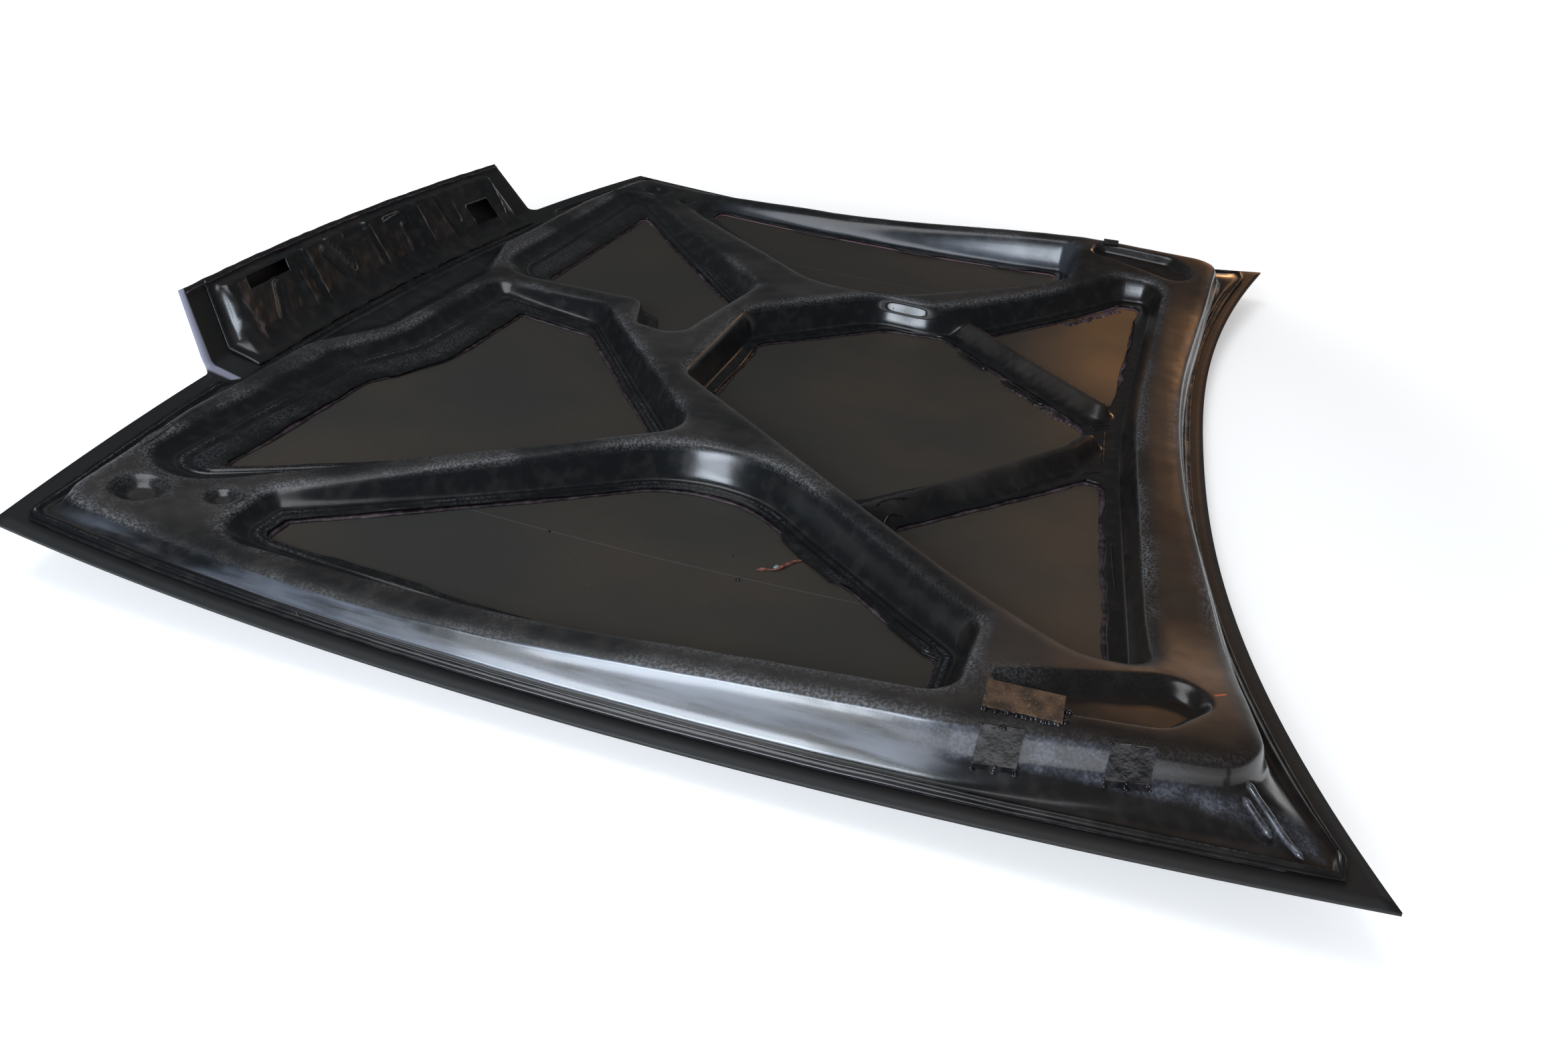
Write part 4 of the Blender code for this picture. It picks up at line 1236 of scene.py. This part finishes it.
def outerSkin():
    fold = (tongue["baseHalf"] + tongue["corner"]) / bonnet["frontHalf"]
    sides, middle = skinDetail["sideColumns"], skinDetail["middleColumns"]
    shares = np.concatenate(
        [
            np.linspace(-1, -fold, sides + 1)[:-1],
            np.linspace(-fold, fold, middle + 1)[:-1],
            np.linspace(fold, 1, sides + 1),
        ]
    )
    along = np.linspace(0, 1, skinDetail["rows"])[:, None]
    y = mix(rearEdge(shares * bonnet["rearHalf"]), frontEdge(shares * bonnet["frontHalf"]), along)
    x = shares * mix(bonnet["rearHalf"], bonnet["frontHalf"], along**4)
    z = skinZ(x, y)
    points = np.stack([x, y, z], axis=-1).reshape(-1, 3)
    columns = len(shares)
    faces = gridFaces(skinDetail["rows"], columns).tolist()
    bend = tongue["bendRadius"] * tongue["angle"]
    runs = np.concatenate([np.linspace(0, bend, 7)[1:], bend + np.linspace(0, tongue["straight"], 14)[1:]])
    inner = shares[sides : sides + middle + 1] / fold
    torn = skinDetail["torn"] * (1 + jitter(len(inner), len(inner) // 2, 91)) / 2
    below = (skinDetail["rows"] - 1) * columns + np.arange(sides, sides + middle + 1)
    count = len(points)
    extra = []
    for run in runs:
        reach = run - torn * float(run == runs[-1])
        extra.append(tonguePoint(inner, reach))
        row = np.arange(count, count + len(inner))
        count += len(inner)
        faces += np.column_stack([below[:-1], below[1:], row[1:], row[:-1]]).tolist()
        below = row
    points = np.concatenate([points, *extra])
    return makePiece(
        "outerSkin",
        points,
        faces,
        [finishes["skinInner"], finishes["skinOuter"]],
        ["outer_skin"],
        skinDetail["thickness"],
    )


outerSkin()
print("outer skin made")


# Pressing inside the tongue

nosePanel = {
    "thickness": 0.002,
    "seat": 0.0025,
    "depth": 0.010,
    "rib": 0.005,
    "columns": [
        (-0.330, 0.0),
        (-0.318, 0.0),
        (-0.298, 1.0),
        (-0.274, 0.6),
        (-0.194, 0.6),
        (-0.176, 1.0),
        (-0.156, 1.0),
        (-0.146, 0.6),
        (-0.106, 0.6),
        (-0.074, 0.9),
        (-0.026, 0.9),
        (-0.016, 0.6),
        (0.084, 0.6),
        (0.094, 1.0),
        (0.148, 1.0),
        (0.158, 0.6),
        (0.215, 0.6),
        (0.272, 0.6),
        (0.296, 1.0),
        (0.318, 0.0),
        (0.330, 0.0),
    ],
    "rows": [(0.0, 1.0), (0.39, 1.0), (0.58, 1.0), (0.78, 1.0), (0.87, 0.0), (0.965, 0.0)],
    # Ribs and hollows: both ends (across, up from the fold), half width, height
    "relief": [
        ((-0.292, 0.016), (-0.318, 0.062), 0.013, 0.0050),
        ((-0.236, 0.014), (-0.226, 0.048), 0.010, -0.0030),
        ((-0.152, 0.014), (-0.160, 0.076), 0.005, 0.0040),
        ((-0.178, 0.014), (-0.184, 0.052), 0.004, 0.0030),
        ((-0.106, 0.074), (-0.080, 0.030), 0.005, 0.0055),
        ((-0.118, 0.060), (-0.098, 0.026), 0.007, -0.0030),
        ((-0.062, 0.069), (-0.024, 0.069), 0.009, -0.0060),
        ((-0.010, 0.014), (-0.012, 0.080), 0.003, 0.0030),
        ((0.030, 0.064), (0.068, 0.066), 0.006, -0.0045),
        ((0.060, 0.014), (0.064, 0.050), 0.010, -0.0025),
        ((0.100, 0.014), (0.104, 0.080), 0.004, 0.0030),
        ((0.162, 0.014), (0.158, 0.080), 0.005, -0.0030),
        ((0.184, 0.030), (0.186, 0.078), 0.003, 0.0030),
        ((0.284, 0.016), (0.300, 0.070), 0.007, 0.0045),
    ],
    "unevenness": 0.0004,
    "glossy": 0.75,
    "slotAcross": (-0.274, -0.194),
    "slotUp": (0.58, 0.78),
    "holeAcross": (0.215, 0.272),
    "holeUp": (0.0, 0.39),
    # Flat hem on the skin: distance behind the front edge, height
    "hem": [(0.030, 0.0), (0.026, 0.0003), (0.022, 0.0008), (0.018, 0.0014)],
    "hemTorn": 0.002,
}


def noseRelief(x, t):
    total = nosePanel["unevenness"] * (ripple(x, t, 0.030, 31) + ripple(x, t, 0.012, 32))
    for start, end, half, height in nosePanel["relief"]:
        aside = lineDistance(x, t, (start, end))
        total = total + height * smooth((half - aside) / (0.6 * half))
    return total


def subdivided(marks, step):
    found = []
    for a, b in zip(marks, marks[1:]):
        count = max(1, round((b - a) / step))
        found += np.linspace(a, b, count + 1)[:-1].tolist()
    return np.array([*found, marks[-1]])


def nosePressing():
    look = nosePanel
    columnX, columnShare = zip(*look["columns"])
    x = subdivided(columnX, 0.0035)
    share = np.interp(x, columnX, columnShare)
    share = np.convolve(np.pad(share, 1, "edge"), (0.25, 0.5, 0.25), "valid")
    rowRun, rowRaised = zip(*look["rows"])
    runs = subdivided(rowRun, 0.045)
    raised = smooth(np.interp(runs, rowRun, rowRaised))
    bend = tongue["bendRadius"] * tongue["angle"]
    rows = []
    ragged = look["hemTorn"] * jitter(len(x), len(x) // 3, 36)
    for distance, lift in look["hem"]:
        y = frontEdge(x) - distance - ragged * float(distance == look["hem"][0][0])
        rows.append(np.column_stack([x, y, skinZ(x, y) + look["seat"] + lift]))
    for run, up in zip(runs, raised):
        boxed = up * np.minimum(share * 3, 1)
        relief = noseRelief(x, bend + run * tongue["straight"])
        lift = look["seat"] + (look["depth"] + look["rib"] * share + relief) * boxed
        rows.append(tonguePoint(x / tongue["baseHalf"], bend + run * tongue["straight"], lift))
    points = np.concatenate(rows)
    faces = gridFaces(len(rows), len(x))
    glossy = {"wall": [np.full(len(points), look["glossy"])]}
    centreX = np.tile(x, len(rows))[faces].mean(axis=1)
    rowOf = faces[:, 0] // len(x) - len(look["hem"])
    rowOf = np.where(rowOf >= 0, runs[np.clip(rowOf, 0, len(runs) - 2)] + 0.02, -1)

    def inOpening(name):
        left, right = look[name + "Across"]
        bottom, top = look[name + "Up"]
        return (centreX > left) & (centreX < right) & (rowOf > bottom) & (rowOf < top)

    return makePiece(
        "nosePressing",
        points,
        faces[~(inOpening("slot") | inOpening("hole"))].tolist(),
        [finishes["frame"]],
        ["nose_panel"],
        look["thickness"],
        glossy,
    )


nosePressing()
print("nose pressing made")


# Bonding paste under the flanges

pasteBeads = {
    "under": 0.010,
    "least": 0.0008,
    "pocketMost": 0.0042,
    "bayMost": 0.0056,
    "clearance": 0.0004,
    "pockets": {
        "frontNear": "paste_front_near",
        "frontFar": "paste_front_far",
        "sideNear": "paste_side_near",
        "sideFar": "paste_side_far",
    },
    "bay": {"centre": "paste_centre", "rearNear": "paste_rear_near", "rearFar": "paste_rear_far"},
}


def pasteBead(name, outline, node, seed, most):
    # A lumpy bead that shows a little past the edge of the flange
    plan = samplePlan(outline)
    edge = drawn(outline, plan)
    edge = np.concatenate([mix(edge, np.roll(edge, -1, axis=0), share) for share in (0.0, 0.5)], axis=1)
    edge = edge.reshape(-1, 2)
    inwards = -outwardsOf(edge)
    count = len(edge)
    lumps = 0.5 + 0.3 * jitter(count, count // 3, seed) + 0.3 * jitter(count, count // 9, seed + 1)
    reach = mix(pasteBeads["least"], most, np.clip(lumps, 0, 1))
    top = bonnet["joint"] - pasteBeads["clearance"]
    section = [
        (-pasteBeads["under"], 0.0, pasteBeads["clearance"]),
        (-pasteBeads["under"], 0.0, top),
        (-0.0015, 0.0, top),
        (0.0, 0.25, top * 1.05),
        (0.0, 0.62, top * 0.95),
        (0.0, 0.92, top * 0.65),
        (0.0, 1.0, top * 0.3),
        (0.0, 0.9, pasteBeads["clearance"]),
    ]
    rings = []
    for offset, share, up in section:
        flat = edge + inwards * (offset + share * reach)[:, None]
        bulge = (1 + 0.35 * jitter(count, count // 4, seed + 2)) if share > 0.5 else 1.0
        height = skinZ(flat[:, 0], flat[:, 1]) + np.maximum(up * bulge, pasteBeads["clearance"])
        rings.append(np.column_stack([flat, height]))
    faces = []
    for number in range(len(rings)):
        outer = number * count + np.arange(count)
        inner = (number + 1) % len(rings) * count + np.arange(count)
        faces += quads(outer, inner)
    return makePiece(name, np.concatenate(rings), faces, [finishes["paste"]], [node])


for number, (name, node) in enumerate(pasteBeads["pockets"].items()):
    opening = inset(inset(outlines[name], wallRun[name]), flangeWidth[name])
    pasteBead("paste." + name, opening, node, 110 + 4 * number, pasteBeads["pocketMost"])
for number, (name, node) in enumerate(pasteBeads["bay"].items()):
    pasteBead("paste." + name, outlines[name], node, 130 + 4 * number, pasteBeads["bayMost"])
print("paste made")


# Beads, lumps and loose bits


def smoothed(path, step=0.0015):
    # A rounded curve through the points of a path
    path = np.array(path, float)
    padded = np.vstack([2 * path[0] - path[1], path, 2 * path[-1] - path[-2]])
    found = []
    for a, b, c, d in zip(padded, padded[1:], padded[2:], padded[3:]):
        count = max(2, round(np.linalg.norm(c - b) / step))
        t = np.linspace(0, 1, count, endpoint=False)[:, None]
        squared = (2 * a - 5 * b + 4 * c - d) * t**2
        cubed = (3 * b - a - 3 * c + d) * t**3
        found.append(0.5 * (2 * b + (c - a) * t + squared + cubed))
    return np.vstack([*found, path[-1:]])


def tube(path, radii, first, sides=8):
    # A closed tube with points on its ends
    along = unit(np.gradient(path, axis=0))
    aside = unit(np.cross(along, (0.0, 0.0, 1.0)))
    up = np.cross(aside, along)
    angles = np.linspace(0, 2 * math.pi, sides, endpoint=False)
    spokes = aside[:, None] * np.cos(angles)[None, :, None] + up[:, None] * np.sin(angles)[None, :, None]
    points = (path[:, None] + spokes * radii[:, None, None]).reshape(-1, 3)
    faces = []
    for number in range(len(path) - 1):
        here = first + number * sides + np.arange(sides)
        there = here + sides
        faces += np.column_stack([here, there, np.roll(there, -1), np.roll(here, -1)]).tolist()
    start, end = first + np.arange(sides), first + len(points) - sides + np.arange(sides)
    return points, faces + [start.tolist(), end[::-1].tolist()]


def tubes(name, paths, radius, finish, surface, lumpy=0.15):
    # Beads along paths of (x, y, lift) over a surface, thin at both ends
    points, faces, first = [], [], 0
    for number, path in enumerate(paths):
        line = smoothed([(*point, 0.0)[:3] for point in path])
        line[:, 2] += surface(line[:, 0], line[:, 1])
        count = len(line)
        ends = np.minimum(np.arange(count) + 1, np.arange(count)[::-1] + 1) / 4
        bumps = 1 + lumpy * jitter(count, max(3, count // 4), 200 + number)
        radii = radius * np.clip(ends, 0.3, 1) * bumps
        more, sides = tube(line, radii, first)
        points.append(more)
        faces += sides
        first += len(more)
    points = np.concatenate(points)
    glossy = {"wall": [np.full(len(points), 0.85)]}
    return makePiece(name, points, faces, [finish], [], marks=glossy)


def lumps(name, places, finish, slotName, seed):
    # Closed blobs: place (x, y, z), radius and height
    draw = np.random.default_rng(seed)
    sides, levels = 10, (-0.5, 0.0, 0.35, 0.7, 0.92)
    points, faces, first = [], [], 0
    for place, radius, height in places:
        angles = np.linspace(0, 2 * math.pi, sides, endpoint=False) + draw.uniform(0, 1)
        uneven = 1 + draw.uniform(-0.25, 0.25, sides)
        rings = []
        for level in levels:
            out = radius * uneven * math.sqrt(1 - level * level)
            x, y = np.cos(angles) * out, np.sin(angles) * out
            rings.append(np.column_stack([x, y, np.full(sides, level * height)]) + place)
        points += rings
        for number in range(len(levels) - 1):
            here = first + number * sides + np.arange(sides)
            faces += quads(here, here + sides)
        faces.append((first + np.arange(sides))[::-1].tolist())
        first += len(levels) * sides
        faces.append((first - sides + np.arange(sides)).tolist())
    return makePiece(name, np.concatenate(points), faces, [finish], [])


def strewn(lines, surface):
    # Lumps along lines: both ends, spread, count, seed, least and most radius, height,
    # and height for each metre of radius
    found = []
    for ends, spread, count, seed, least, most, height, share in lines:
        draw = np.random.default_rng(seed)
        (ax, ay), (bx, by) = ends
        along = draw.uniform(0, 1, count)
        x = ax + (bx - ax) * along + draw.normal(0, spread, count)
        y = ay + (by - ay) * along + draw.normal(0, spread, count)
        for px, py, radius in zip(x, y, draw.uniform(least, most, count)):
            found.append(((px, py, surface(px, py)), radius, height + radius * share))
    return found


frameBeads = {
    "radius": 0.0013,
    "paths": [
        [(0.030, 0.228), (0.040, 0.214), (0.046, 0.204)],
        [(0.038, 0.232), (0.048, 0.217), (0.054, 0.206)],
        [(0.028, 0.2135), (-0.020, 0.2125), (-0.069, 0.2105)],
        [(-0.100, 0.234), (-0.094, 0.222), (-0.088, 0.212)],
        [(-0.260, 0.1935), (-0.310, 0.190), (-0.355, 0.186)],
        [(-0.314, 0.4185), (-0.298, 0.413), (-0.283, 0.394)],
        [(-0.306, 0.4290), (-0.289, 0.421), (-0.274, 0.402)],
        [(0.256, 0.368), (0.193, 0.307), (0.112, 0.231)],
        [(0.223, 0.421), (0.200, 0.399), (0.180, 0.380), (0.176, 0.385), (0.196, 0.405), (0.219, 0.426)],
        [(0.148, 0.350), (0.118, 0.321), (0.091, 0.295), (0.087, 0.300), (0.114, 0.327), (0.144, 0.355)],
        [
            (-0.472, 0.3795),
            (-0.497, 0.3535),
            (-0.5185, 0.3295),
            (-0.5255, 0.3365),
            (-0.505, 0.361),
            (-0.479, 0.386),
        ],
        [
            (-0.376, 0.487),
            (-0.398, 0.4625),
            (-0.424, 0.4335),
            (-0.431, 0.4405),
            (-0.406, 0.470),
            (-0.384, 0.495),
        ],
        [(-0.170, 0.2965), (-0.160, 0.288), (-0.150, 0.2785)],
        [(-0.126, 0.262), (-0.117, 0.2555), (-0.108, 0.247)],
    ],
}
tubes("floorBeads", frameBeads["paths"], frameBeads["radius"], finishes["frame"], floorZ)

cornerRidge = {
    "radius": 0.0026,
    "paths": [
        [
            (-0.6615, 0.0965, 0.030),
            (-0.6745, 0.084, 0.0205),
            (-0.690, 0.069, 0.009),
            (-0.7025, 0.0570, 0.0035),
        ],
        [(-0.668, 0.0965, 0.021), (-0.6785, 0.0865, 0.013), (-0.689, 0.0760, 0.006)],
    ],
}
tubes("cornerRidge", cornerRidge["paths"], cornerRidge["radius"], finishes["frame"], floorZ)

# Uneven bead along the top of the tongue
tongueLip = {
    "reach": 0.985,
    "count": 160,
    "lift": 0.0030,
    "liftWander": 0.0004,
    "below": 0.0060,
    "wander": 0.0008,
    "radius": 0.0013,
    "leastRadius": 0.0004,
}


def pinchedLip():
    look = tongueLip
    count = look["count"]
    across = np.linspace(-look["reach"], look["reach"], count)
    top = tongue["bendRadius"] * tongue["angle"] + tongue["straight"]
    lift = look["lift"] + look["liftWander"] * jitter(count, 40, 93)
    run = top - look["below"] + look["wander"] * jitter(count, 50, 94)
    radii = look["radius"] * (0.8 + 0.5 * jitter(count, 60, 95))
    radii = np.maximum(radii, look["leastRadius"])
    points, faces = tube(tonguePoint(across, run, lift), radii, 0)
    makePiece("tongueLip", points, faces, [finishes["paste"]], [])


pinchedLip()

wetSmear = {
    "lines": [
        (((-0.606, 0.512), (-0.598, 0.400)), 0.0035, 60, 301, 0.002, 0.0065, 0.0010, 0.0),
        (((-0.612, 0.470), (-0.606, 0.430)), 0.0030, 24, 302, 0.002, 0.0050, 0.0014, 0.0),
    ],
    "drops": [(-0.4316, 0.54, 0.0018), (-0.4715, 0.52, 0.0024), (-0.4693, 0.7105, 0.0018)],
    "dropHeight": 0.8,
    "seed": 303,
}
wetSpots = strewn(wetSmear["lines"], skinZ)
for x, y, radius in wetSmear["drops"]:
    wetSpots.append(((x, y, skinZ(x, y)), radius, radius * wetSmear["dropHeight"]))
lumps("wetSmear", wetSpots, finishes["resin"], "paste_dark", wetSmear["seed"])

# Thick paste squeezed out along two edges at the rear
squeezedPaste = {
    "lines": [
        (((0.150, 0.352), (0.022, 0.232)), 0.0022, 90, 341, 0.0030, 0.0070, 0.0026, 0.0),
        (((0.400, 0.292), (0.487, 0.220)), 0.0018, 50, 342, 0.0025, 0.0050, 0.0022, 0.0),
    ],
    "seed": 343,
}
squeezed = strewn(squeezedPaste["lines"], skinZ)
lumps("squeezedPaste", squeezed, finishes["paste"], "paste_dark", squeezedPaste["seed"])

resinCrust = {
    "strips": [
        ("resinFront", "near_rail_strip_front", 311),
        ("resinRear", "near_rail_strip_rear", 312),
    ],
    "count": 34,
    "spread": 0.0008,
    "sunk": 0.0006,
    "radius": (0.0008, 0.0022),
    "height": (0.0007, 0.0013),
}


def crust(name, node, seed):
    # Lumps of resin over the corners of a strip
    look = resinCrust
    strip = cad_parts[node]
    corners = np.array([tuple(strip.matrix_world @ vertex.co) for vertex in strip.data.vertices])
    draw = np.random.default_rng(seed)
    spots = []
    for index in draw.integers(0, len(corners), look["count"]):
        place = corners[index] - origin + draw.normal(0, look["spread"], 3) - (0, 0, look["sunk"])
        spots.append((place, draw.uniform(*look["radius"]), draw.uniform(*look["height"])))
    lumps(name, spots, finishes["resin"], "strip_black", seed)


for name, node, seed in resinCrust["strips"]:
    crust(name, node, seed)

plateEdge = {
    "lines": [
        (((-0.661, 0.279), (-0.659, 0.222)), 0.0009, 34, 354, 0.0012, 0.0026, 0.0, 0.8),
        (((-0.657, 0.220), (-0.640, 0.220)), 0.0009, 10, 330, 0.0012, 0.0026, 0.0, 0.8),
    ],
    "seed": 321,
}
crumbs = strewn(plateEdge["lines"], plateauZ)
lumps("plateEdge", crumbs, finishes["resin"], "plate_brown", plateEdge["seed"])

tornStrand = {
    "path": [
        (-0.4480, 0.5095, 0.0014),
        (-0.4425, 0.5020, 0.0010),
        (-0.4400, 0.4945, 0.0012),
        (-0.4345, 0.4900, 0.0018),
        (-0.4262, 0.4862, 0.0012),
        (-0.4180, 0.4818, 0.0016),
        (-0.4135, 0.4775, 0.0012),
        (-0.4094, 0.4739, 0.0008),
    ],
    "radius": 0.0017,
    "lumpy": 0.5,
    "blob": (-0.4345, 0.4935),
    "blobLift": 0.001,
    "blobRadius": 0.0034,
    "blobHeight": 0.0022,
    "seed": 331,
}


def tornThread():
    look = tornStrand
    strand, slotName = finishes["strand"], "paste_dark"
    tubes("tornStrand", [look["path"]], look["radius"], strand, skinZ, look["lumpy"])
    x, y = look["blob"]
    place = (x, y, skinZ(x, y) + look["blobLift"])
    blobs = [(place, look["blobRadius"], look["blobHeight"])]
    blob = lumps("strandBlob", blobs, strand, slotName, look["seed"])
    teal = blob.data.attributes.new("teal", "FLOAT", "POINT")
    teal.data.foreach_set("value", np.ones(len(blob.data.vertices), np.float32))


tornThread()
print("small pieces made")

# Finishes of the pieces that keep their solids
for node, finish in (
    ("paste_edge", "paste"),
    ("hinge_plate", "plate"),
    ("far_rail_strip", "resin"),
    ("near_rail_strip_front", "resin"),
    ("near_rail_strip_rear", "resin"),
):
    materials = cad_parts[node].data.materials
    materials.clear()
    materials.append(finishes[finish])


# Camera, floor and light


cameraPlan = {
    "lens": 26.89,
    "sensor": 36,
    "nearest": 0.01,
    "place": (-1.3415912, 0.2701245, 0.5388176),
    "right": (0.28260336, -0.95543560, 0.08531207),
    "up": (0.45646468, 0.21216961, 0.86407410),
    "back": (-0.84366779, -0.20524829, 0.49608246),
}


def setCamera():
    look = cameraPlan
    data = bpy.data.cameras.new("camera")
    data.lens = look["lens"]
    data.sensor_width = look["sensor"]
    data.clip_start = look["nearest"]
    camera = bpy.data.objects.new("camera", data)
    bpy.context.scene.collection.objects.link(camera)
    turn = Matrix((look["right"], look["up"], look["back"])).transposed().to_4x4()
    place = Vector(look["place"]) + Vector(origin)
    camera.matrix_world = Matrix.Translation(place) @ turn
    bpy.context.scene.camera = camera


lightPlan = {
    "worldDim": 0.32,
    "ceiling": 0.06,
    "ceilingStarts": 0.01,
    "ceilingFull": 0.15,
    "lights": [
        # name, place, target, sizes, watts, colour, spread in degrees
        ("sky", (-0.6, 0.6, 2.6), (0.0, 0.0, 0.0), (1.5, 1.5), 27.0, (0.93, 0.96, 1.0), 180),
        ("coolSide", (-2.6, 0.45, 1.25), (-0.6, -0.1, 0.0), (1.2, 0.6), 40.0, (0.80, 0.89, 1.0), 180),
        ("lowSide", (-2.7, 0.45, 0.50), (-0.7, -0.1, 0.02), (1.0, 0.7), 26.0, (0.82, 0.90, 1.0), 180),
        ("warmRear", (2.7, -0.95, 0.62), (0.2, -0.45, 0.0), (0.4, 0.25), 0.15, (1.0, 0.50, 0.22), 42),
    ],
}


def setLights():
    for name, place, target, size, power, colour, spread in lightPlan["lights"]:
        data = bpy.data.lights.new(name, "AREA")
        data.shape = "RECTANGLE"
        data.size, data.size_y = size
        data.energy = power
        data.color = colour
        data.spread = math.radians(spread)
        lamp = bpy.data.objects.new(name, data)
        bpy.context.scene.collection.objects.link(lamp)
        lamp.location = place
        aim = Vector(target) - Vector(place)
        lamp.rotation_euler = aim.to_track_quat("-Z", "Y").to_euler()
        lamp.visible_camera = False


def raySeen(tree, *names):
    # 1 on the rays that are named
    path = tree.nodes.new("ShaderNodeLightPath")
    total = Wire(tree, path.outputs[names[0]])
    for name in names[1:]:
        total = total + Wire(tree, path.outputs[name])
    return total.clamped()


def setWorld():
    # White behind the object, and a dim ceiling above it in what glossy pieces mirror
    world = bpy.data.worlds.new("studio")
    bpy.context.scene.world = world
    world.use_nodes = True
    tree = world.node_tree
    background = tree.nodes["Background"]
    direction = Wire(tree, tree.nodes.new("ShaderNodeTexCoord").outputs["Generated"])
    height = direction.axis(2)
    dim, ceiling = lightPlan["worldDim"], lightPlan["ceiling"]
    upper = height.band(lightPlan["ceilingStarts"], lightPlan["ceilingFull"])
    mirroredShare = 1.0 - upper * (1.0 - ceiling)
    mirrored = raySeen(tree, "Is Glossy Ray", "Is Transmission Ray")
    shown = raySeen(tree, "Is Camera Ray")
    strength = (dim + mirrored * (mirroredShare - dim)) * (1.0 - shown) + shown
    tree.links.new(strength.socket, background.inputs["Strength"])
    background.inputs["Color"].default_value = (1, 1, 1, 1)


floorLook = {
    "reach": 14.0,
    "below": 0.0005,
    "colour": 0.86,
    "near": 0.36,
    "nearReach": 0.75,
    "farReach": 1.7,
}


def setFloor():
    mesh = bpy.data.meshes.new("floor")
    look = floorLook
    corners = [(-1, -1), (1, -1), (1, 1), (-1, 1)]
    points = [(x * look["reach"], y * look["reach"], -look["below"]) for x, y in corners]
    mesh.from_pydata(points, [], [(0, 1, 2, 3)])
    material, tree, shader, place = newMaterial("floor")
    shader.inputs["Base Color"].default_value = (look["colour"], look["colour"], look["colour"], 1)
    shader.inputs["Roughness"].default_value = 0.9
    shader.inputs["Specular IOR Level"].default_value = 0.0
    away = place.node("ShaderNodeVectorMath", {"operation": "LENGTH"}, {0: place}, "Value")
    seen = raySeen(tree, "Is Camera Ray", "Is Glossy Ray", "Is Transmission Ray")
    level = look["near"] + away.band(look["nearReach"], look["farReach"]) * (1.0 - look["near"])
    glow = (seen * level).colour((0, 0, 0), (1, 1, 1))
    tree.links.new(glow.socket, shader.inputs["Emission Color"])
    shader.inputs["Emission Strength"].default_value = 1.0
    mesh.materials.append(material)
    floor = bpy.data.objects.new("floor", mesh)
    bpy.context.scene.collection.objects.link(floor)


setCamera()
setLights()
setWorld()
setFloor()
bpy.context.scene.view_settings.view_transform = "Standard"
print("camera, light and floor set")
